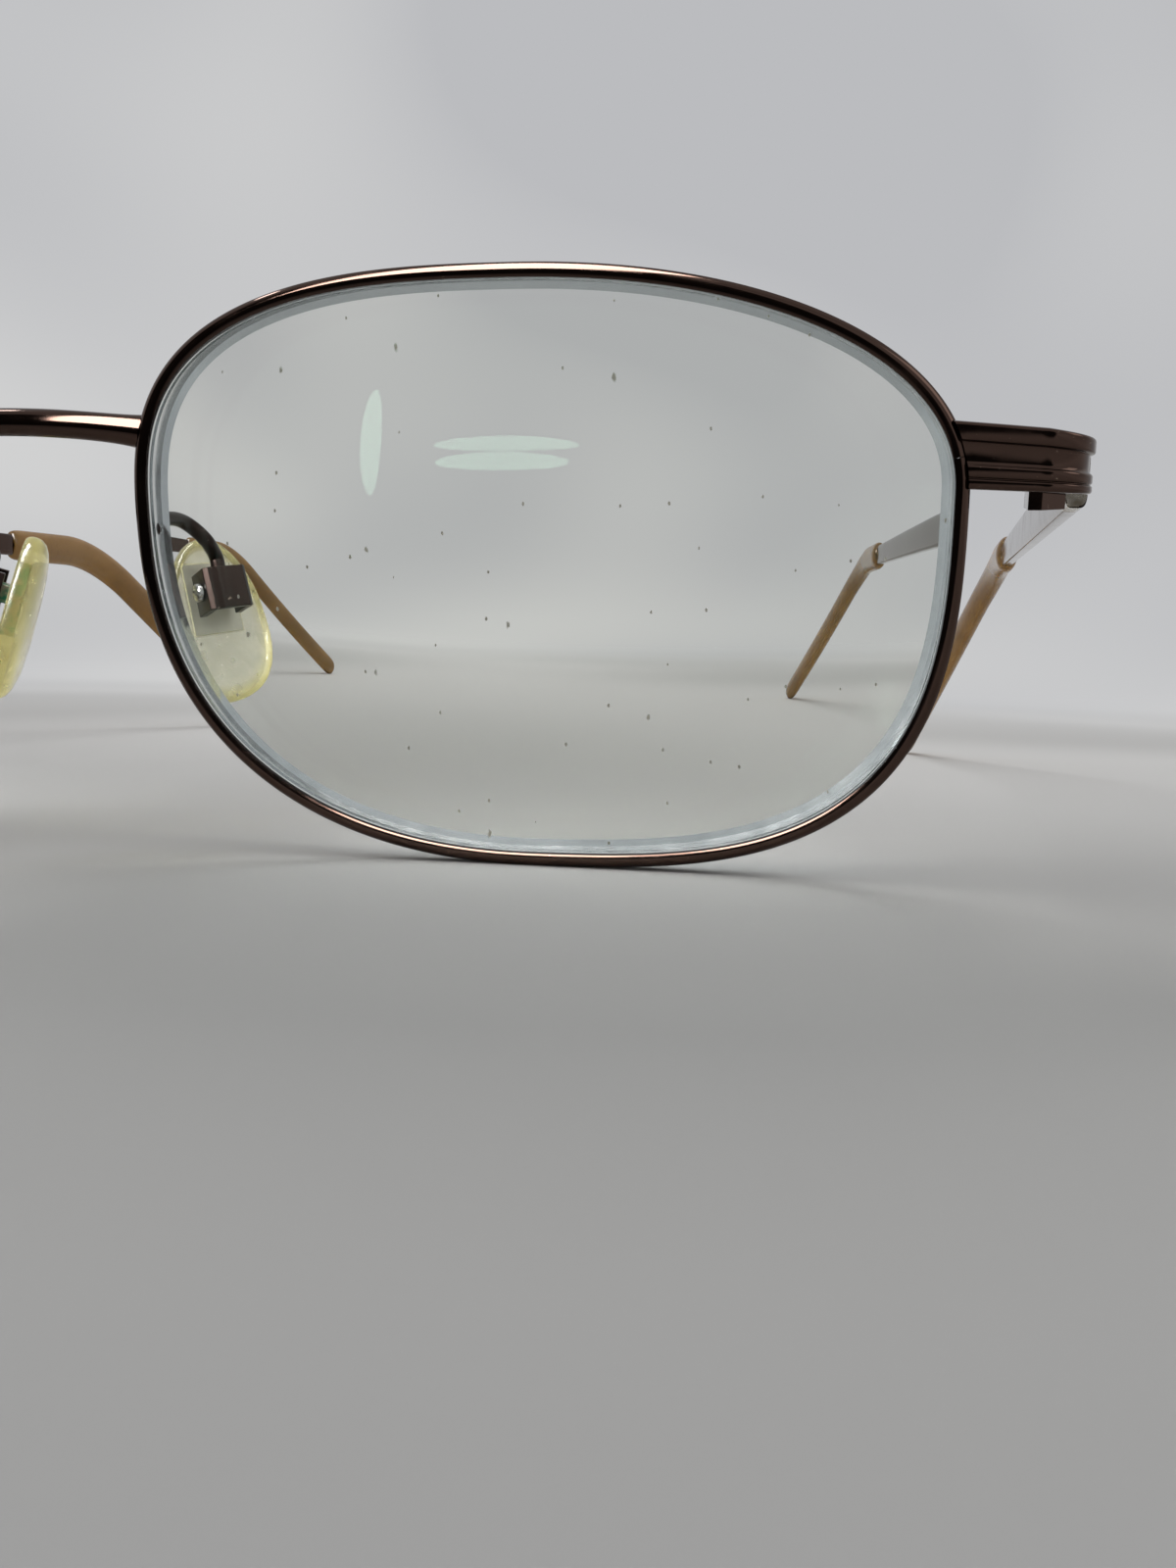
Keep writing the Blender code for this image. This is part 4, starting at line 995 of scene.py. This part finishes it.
# One eye with all that hangs on it, from the rim out to the tip and in to the pad.
def makeSide(side, label):
    for name, node, mesh, materials, sharp in drawnPieces:
        makePiece(label + "_" + name, mesh(), materials, label + "_" + node, side, sharp)
    for name, node, material, edgeRadius, lowered in softenedPieces:
        softenedPiece(label + "_" + name, label + "_" + node, material, edgeRadius, lowered)
    softenedPiece(label + "_pad_plate", label + "_pad_insert", greenedNickel(label), 0.08)

    up = Vector((0, 0, 1))
    lockLow = rim["splitZ"] - rim["splitGap"] / 2 - lock["half"]
    lockMiddleN = endPiece["frontN"] + endPiece["thickness"] + jointGap + lock["depth"] / 2
    screwU = eye["templeU"] + jointGap + lock["length"] * lock["screwAlong"]
    seat = eyeToFront(screwU, lockMiddleN, lockLow + lock["headDepth"] - lock["fit"])
    reach = 2 * lock["half"] + rim["splitGap"] - lock["headDepth"] - lock["screwSpare"]
    head = (lock["headRadius"] * lock["headShare"], lock["headDepth"] * lock["screwShare"])
    makeScrew(label + "_closing_screw", label + "_rim_screw", side, seat, up, head,
              lock["screwRadius"] * lock["screwShare"], reach, lock["slotTurn"])

    hingeHalf = (3 * hinge["knuckleHeight"] + 2 * hinge["gap"]) / 2
    top = Vector((hingeX, hingeY, hinge["z"] + hingeHalf + pivot["above"]))
    makeScrew(label + "_pivot_screw", label + "_hinge_screw", side, top, -up, pivot["head"],
              pivot["shankRadius"], 2 * hingeHalf, pivot["slotTurn"])

    pin = padPlace(-pad["boxWidth"] / 2 - padScrew["start"], pad["boxUp"], pad["boxOut"])
    head = (pad["headRadius"], pad["headDepth"])
    makeScrew(label + "_pad_pin", label + "_pad_screw", side, pin, padAcross, head,
              pad["screwRadius"] * padScrew["shankShare"], pad["boxWidth"] + padScrew["spare"],
              padScrew["slotTurn"])
    print("made the", label, "side")


makeSide(1, "left")
makeSide(-1, "right")
makePiece("bridge_bar", bridgeMesh(), [bronze], "bridge", sharp=50.0)
print("made the bridge")


stage = {
    # The floor's darker patch colour is painted soft shadow; the backdrop's pale and darker cloud colours are
    # painted soft light and shade.
    "floor": "#cfcecc", "floorShadow": "#b5b4b2", "floorShadowSize": 190.0, "flat": 0.45, "bend": 0.4, "height": 0.75,
    "pale": "#dadad9", "backdropShade": "#bbbcbf", "cloudSize": 520.0, "clouds": (0.35, 0.65), "glow": (0.07, 0.5),
    # The zone that polished metal mirrors dark: its direction, how near to that the paper must lie, how
    # far out it starts in metres, and what is left of the glow there.
    "darkWay": (-0.34, -0.94, 0.0), "darkNear": (0.68, 0.73), "darkFrom": (0.09, 0.14), "darkGlow": 0.05,
    "sides": 96, "bendSteps": 16,
}


# Matt studio paper, swept up all round into the backdrop, with slow darker patches on the floor that are painted
# soft shadow.
# Lamps light the floor round the glasses; farther out the paper glows with slow clouds of pale and darker grey,
# painted soft light and shade, so that the background stays even.
# In mirror reflections alone, the paper behind the camera is dark, as an unlit room would be.
def studioPaper():
    material, tree, shader = startMaterial("paperMattStudio", Roughness=0.9, Specular_IOR_Level=0.2)
    place = addNode(tree, "TexCoord").outputs["Object"]
    # Painted shadow: slow patches of a darker floor colour stand in for soft shadows on the floor.
    floorShadowNoise = addNode(tree, "TexNoise", {
        "Vector": place, "Scale": 1 / (stage["floorShadowSize"] * mm), "Detail": 0.0})
    shaded = addNode(tree, "MapRange", {
        0: floorShadowNoise, **limits(stage["clouds"])}, interpolation_type="SMOOTHSTEP")
    paper = addNode(tree, "Mix", {0: shaded, 6: stage["floor"], 7: stage["floorShadow"]}, data_type="RGBA")
    shade(tree, shader, Base_Color=paper.outputs[2])
    # Painted light and shade: slow clouds of pale and darker grey that the backdrop glows with.
    clouds = addNode(tree, "TexNoise", {
        "Vector": place, "Scale": 1 / (stage["cloudSize"] * mm), "Detail": 1.0})
    share = addNode(tree, "MapRange", {0: clouds, **limits(stage["clouds"])})
    colour = addNode(tree, "Mix", {0: share, 6: stage["pale"], 7: stage["backdropShade"]}, data_type="RGBA")
    away = addNode(tree, "VectorMath", {0: place}, operation="LENGTH")
    far = addNode(tree, "MapRange", {
        0: away.outputs["Value"], **limits(stage["glow"])}, interpolation_type="SMOOTHSTEP")
    way = addNode(tree, "VectorMath", {0: place}, operation="NORMALIZE")
    facing = addNode(tree, "VectorMath", {0: way, 1: stage["darkWay"]}, operation="DOT_PRODUCT")
    unlit = addNode(tree, "MapRange", {
        0: facing.outputs["Value"], **limits(stage["darkNear"])}, interpolation_type="SMOOTHSTEP")
    beyond = addNode(tree, "MapRange", {0: away.outputs["Value"], **limits(stage["darkFrom"])})
    hidden = addNode(tree, "Math", {0: unlit, 1: beyond}, operation="MULTIPLY")
    path = addNode(tree, "LightPath")
    # A ray bent through a lens counts as glossy too, so it is taken off the mirrored ones.
    reflected = addNode(tree, "Math", {
        0: path.outputs["Is Glossy Ray"], 1: path.outputs["Is Transmission Ray"]},
        operation="SUBTRACT", use_clamp=True)
    mirrored = addNode(tree, "Math", {0: hidden, 1: reflected}, operation="MULTIPLY")
    strength = addNode(tree, "MapRange", {0: mirrored, **limits(give=(1.0, stage["darkGlow"]))})
    glow = addNode(tree, "Emission", {"Color": colour.outputs[2], "Strength": strength})
    seen = addNode(tree, "Math", {
        0: path.outputs["Is Camera Ray"], 1: path.outputs["Is Glossy Ray"]}, operation="MAXIMUM")
    shown = addNode(tree, "Math", {0: seen, 1: path.outputs["Is Transmission Ray"]}, operation="MAXIMUM")
    factor = addNode(tree, "Math", {0: shown, 1: far}, operation="MULTIPLY")
    covered = addNode(tree, "Math", {0: factor, 1: mirrored}, operation="MAXIMUM")
    mixed = addNode(tree, "MixShader", {0: covered, 1: shader, 2: glow})
    tree.links.new(mixed.outputs[0], tree.nodes["Material Output"].inputs["Surface"])
    return material


# The sweep's profile: flat floor, a quarter turn up, then a wall.
def makeStage():
    flat, bend, sides = stage["flat"], stage["bend"], stage["sides"]
    profile = [(0.002, 0.0), (0.1, 0.0), (0.25, 0.0), (flat, 0.0)]
    for i in range(1, stage["bendSteps"] + 1):
        angle = math.pi / 2 * i / stage["bendSteps"]
        profile.append((flat + bend * math.sin(angle), bend * (1 - math.cos(angle))))
    profile.append((flat + bend, stage["height"]))
    rings = [[Vector((a, b, level)) for a, b in circle(radius, sides)] for radius, level in profile]
    bm = skin(rings, capped=False)
    bm.faces.new(bm.verts[:sides])
    bmesh.ops.recalc_face_normals(bm, faces=bm.faces)
    addObject("paper_sweep", bm, [studioPaper()])


# Each lamp: place and aim in metres in the row frame, its two sides, the brightness of its face and
# the rays it reaches. Banks light the scene, the panel and the strip draw the metal's highlights, and
# the tubes draw the soft shapes seen in the lenses.
lamps = {
    "backBank": {"place": (-0.06, 0.28, 0.36), "aim": (0.02, -0.08, 0.0), "size": (0.26, 0.12), "face": 9.5,
                 "reaches": ("diffuse",)},
    "sideBank": {"place": (0.34, -0.12, 0.22), "aim": (0.0, -0.05, 0.02), "size": (0.16, 0.2), "face": 1.4,
                 "reaches": ("diffuse", "glossy")},
    "tallPanel": {"place": (-0.02, -0.345, 0.32), "aim": (0.035, -0.065, 0.037), "size": (0.2, 0.62),
                  "face": 24.0, "reaches": ("glossy",)},
    "bridgeStrip": {"place": (-0.22, -0.065, 0.36), "aim": (0.0, -0.065, 0.03), "size": (0.07, 0.028),
                    "face": 16.0, "reaches": ("glossy",)},
    "wideTubeHigh": {"place": (0.006, -0.56, 0.099), "aim": (0.034, -0.065, 0.027), "size": (0.25, 0.024),
                     "face": 16.0, "shape": "ELLIPSE", "reaches": ("transmission",)},
    "wideTubeLow": {"place": (0.0, -0.56, 0.07), "aim": (0.034, -0.065, 0.027), "size": (0.23, 0.03),
                    "face": 16.0, "shape": "ELLIPSE", "reaches": ("transmission",)},
    "tallTube": {"place": (-0.22, -0.495, 0.107), "aim": (0.025, -0.065, 0.027), "size": (0.04, 0.17),
                 "face": 20.0, "shape": "ELLIPSE", "reaches": ("transmission",)},
}


def makeLamp(name, settings):
    light = bpy.data.lights.new(name, "AREA")
    light.shape = settings.get("shape", "RECTANGLE")
    light.size, light.size_y = settings["size"]
    light.energy = math.pi * settings["size"][0] * settings["size"][1] * settings["face"]
    lamp = bpy.data.objects.new(name, light)
    lamp.location = settings["place"]
    away = Vector(settings["aim"]) - Vector(settings["place"])
    lamp.rotation_euler = away.to_track_quat("-Z", "Y").to_euler()
    lamp.visible_camera = False
    for way in ("diffuse", "glossy", "transmission"):
        setattr(lamp, "visible_" + way, way in settings["reaches"])
    bpy.context.scene.collection.objects.link(lamp)


room = {"behind": "#8f9092", "elsewhere": "#c9cacc", "fade": (-0.9, -0.2)}


# Soft room light from everywhere, dimmer behind the camera, so that polished metal mirrors some shade.
def makeRoomLight():
    world = bpy.data.worlds.new("softRoom")
    bpy.context.scene.world = world
    world.use_nodes = True
    tree = world.node_tree
    way = addNode(tree, "TexCoord").outputs["Generated"]
    parts = addNode(tree, "SeparateXYZ", {0: way})
    share = addNode(tree, "MapRange", {0: parts.outputs[1], **limits(room["fade"])})
    colour = addNode(tree, "Mix", {0: share, 6: room["behind"], 7: room["elsewhere"]}, data_type="RGBA")
    tree.links.new(colour.outputs[2], tree.nodes["Background"].inputs["Color"])


makeStage()
for name, settings in lamps.items():
    makeLamp(name, settings)
makeRoomLight()
print("stage and lamps ready")

# The camera stands close in front of the left lens, a little to its temple side, looking slightly down.
cameraView = {
    "place": (59.42, -80.18, 8.44), "aim": (41.01, -4.92, -11.48), "roll": 0.57, "focal": 30.375,
    "sensor": 36.0,
}


def makeCamera():
    data = bpy.data.cameras.new("camera")
    data.lens = cameraView["focal"]
    data.sensor_width = cameraView["sensor"]
    data.clip_start, data.clip_end = 0.001, 10.0
    camera = bpy.data.objects.new("camera", data)
    bpy.context.scene.collection.objects.link(camera)
    bpy.context.scene.camera = camera
    look = Vector(cameraView["aim"]) - Vector(cameraView["place"])
    turn = look.to_track_quat("-Z", "Y").to_matrix().to_4x4()
    turn = turn @ Matrix.Rotation(math.radians(-cameraView["roll"]), 4, "Z")
    camera.matrix_world = Matrix.Translation(frontToRow @ Vector(cameraView["place"])) @ turnFront @ turn


makeCamera()
bpy.context.scene.view_settings.view_transform = "Standard"
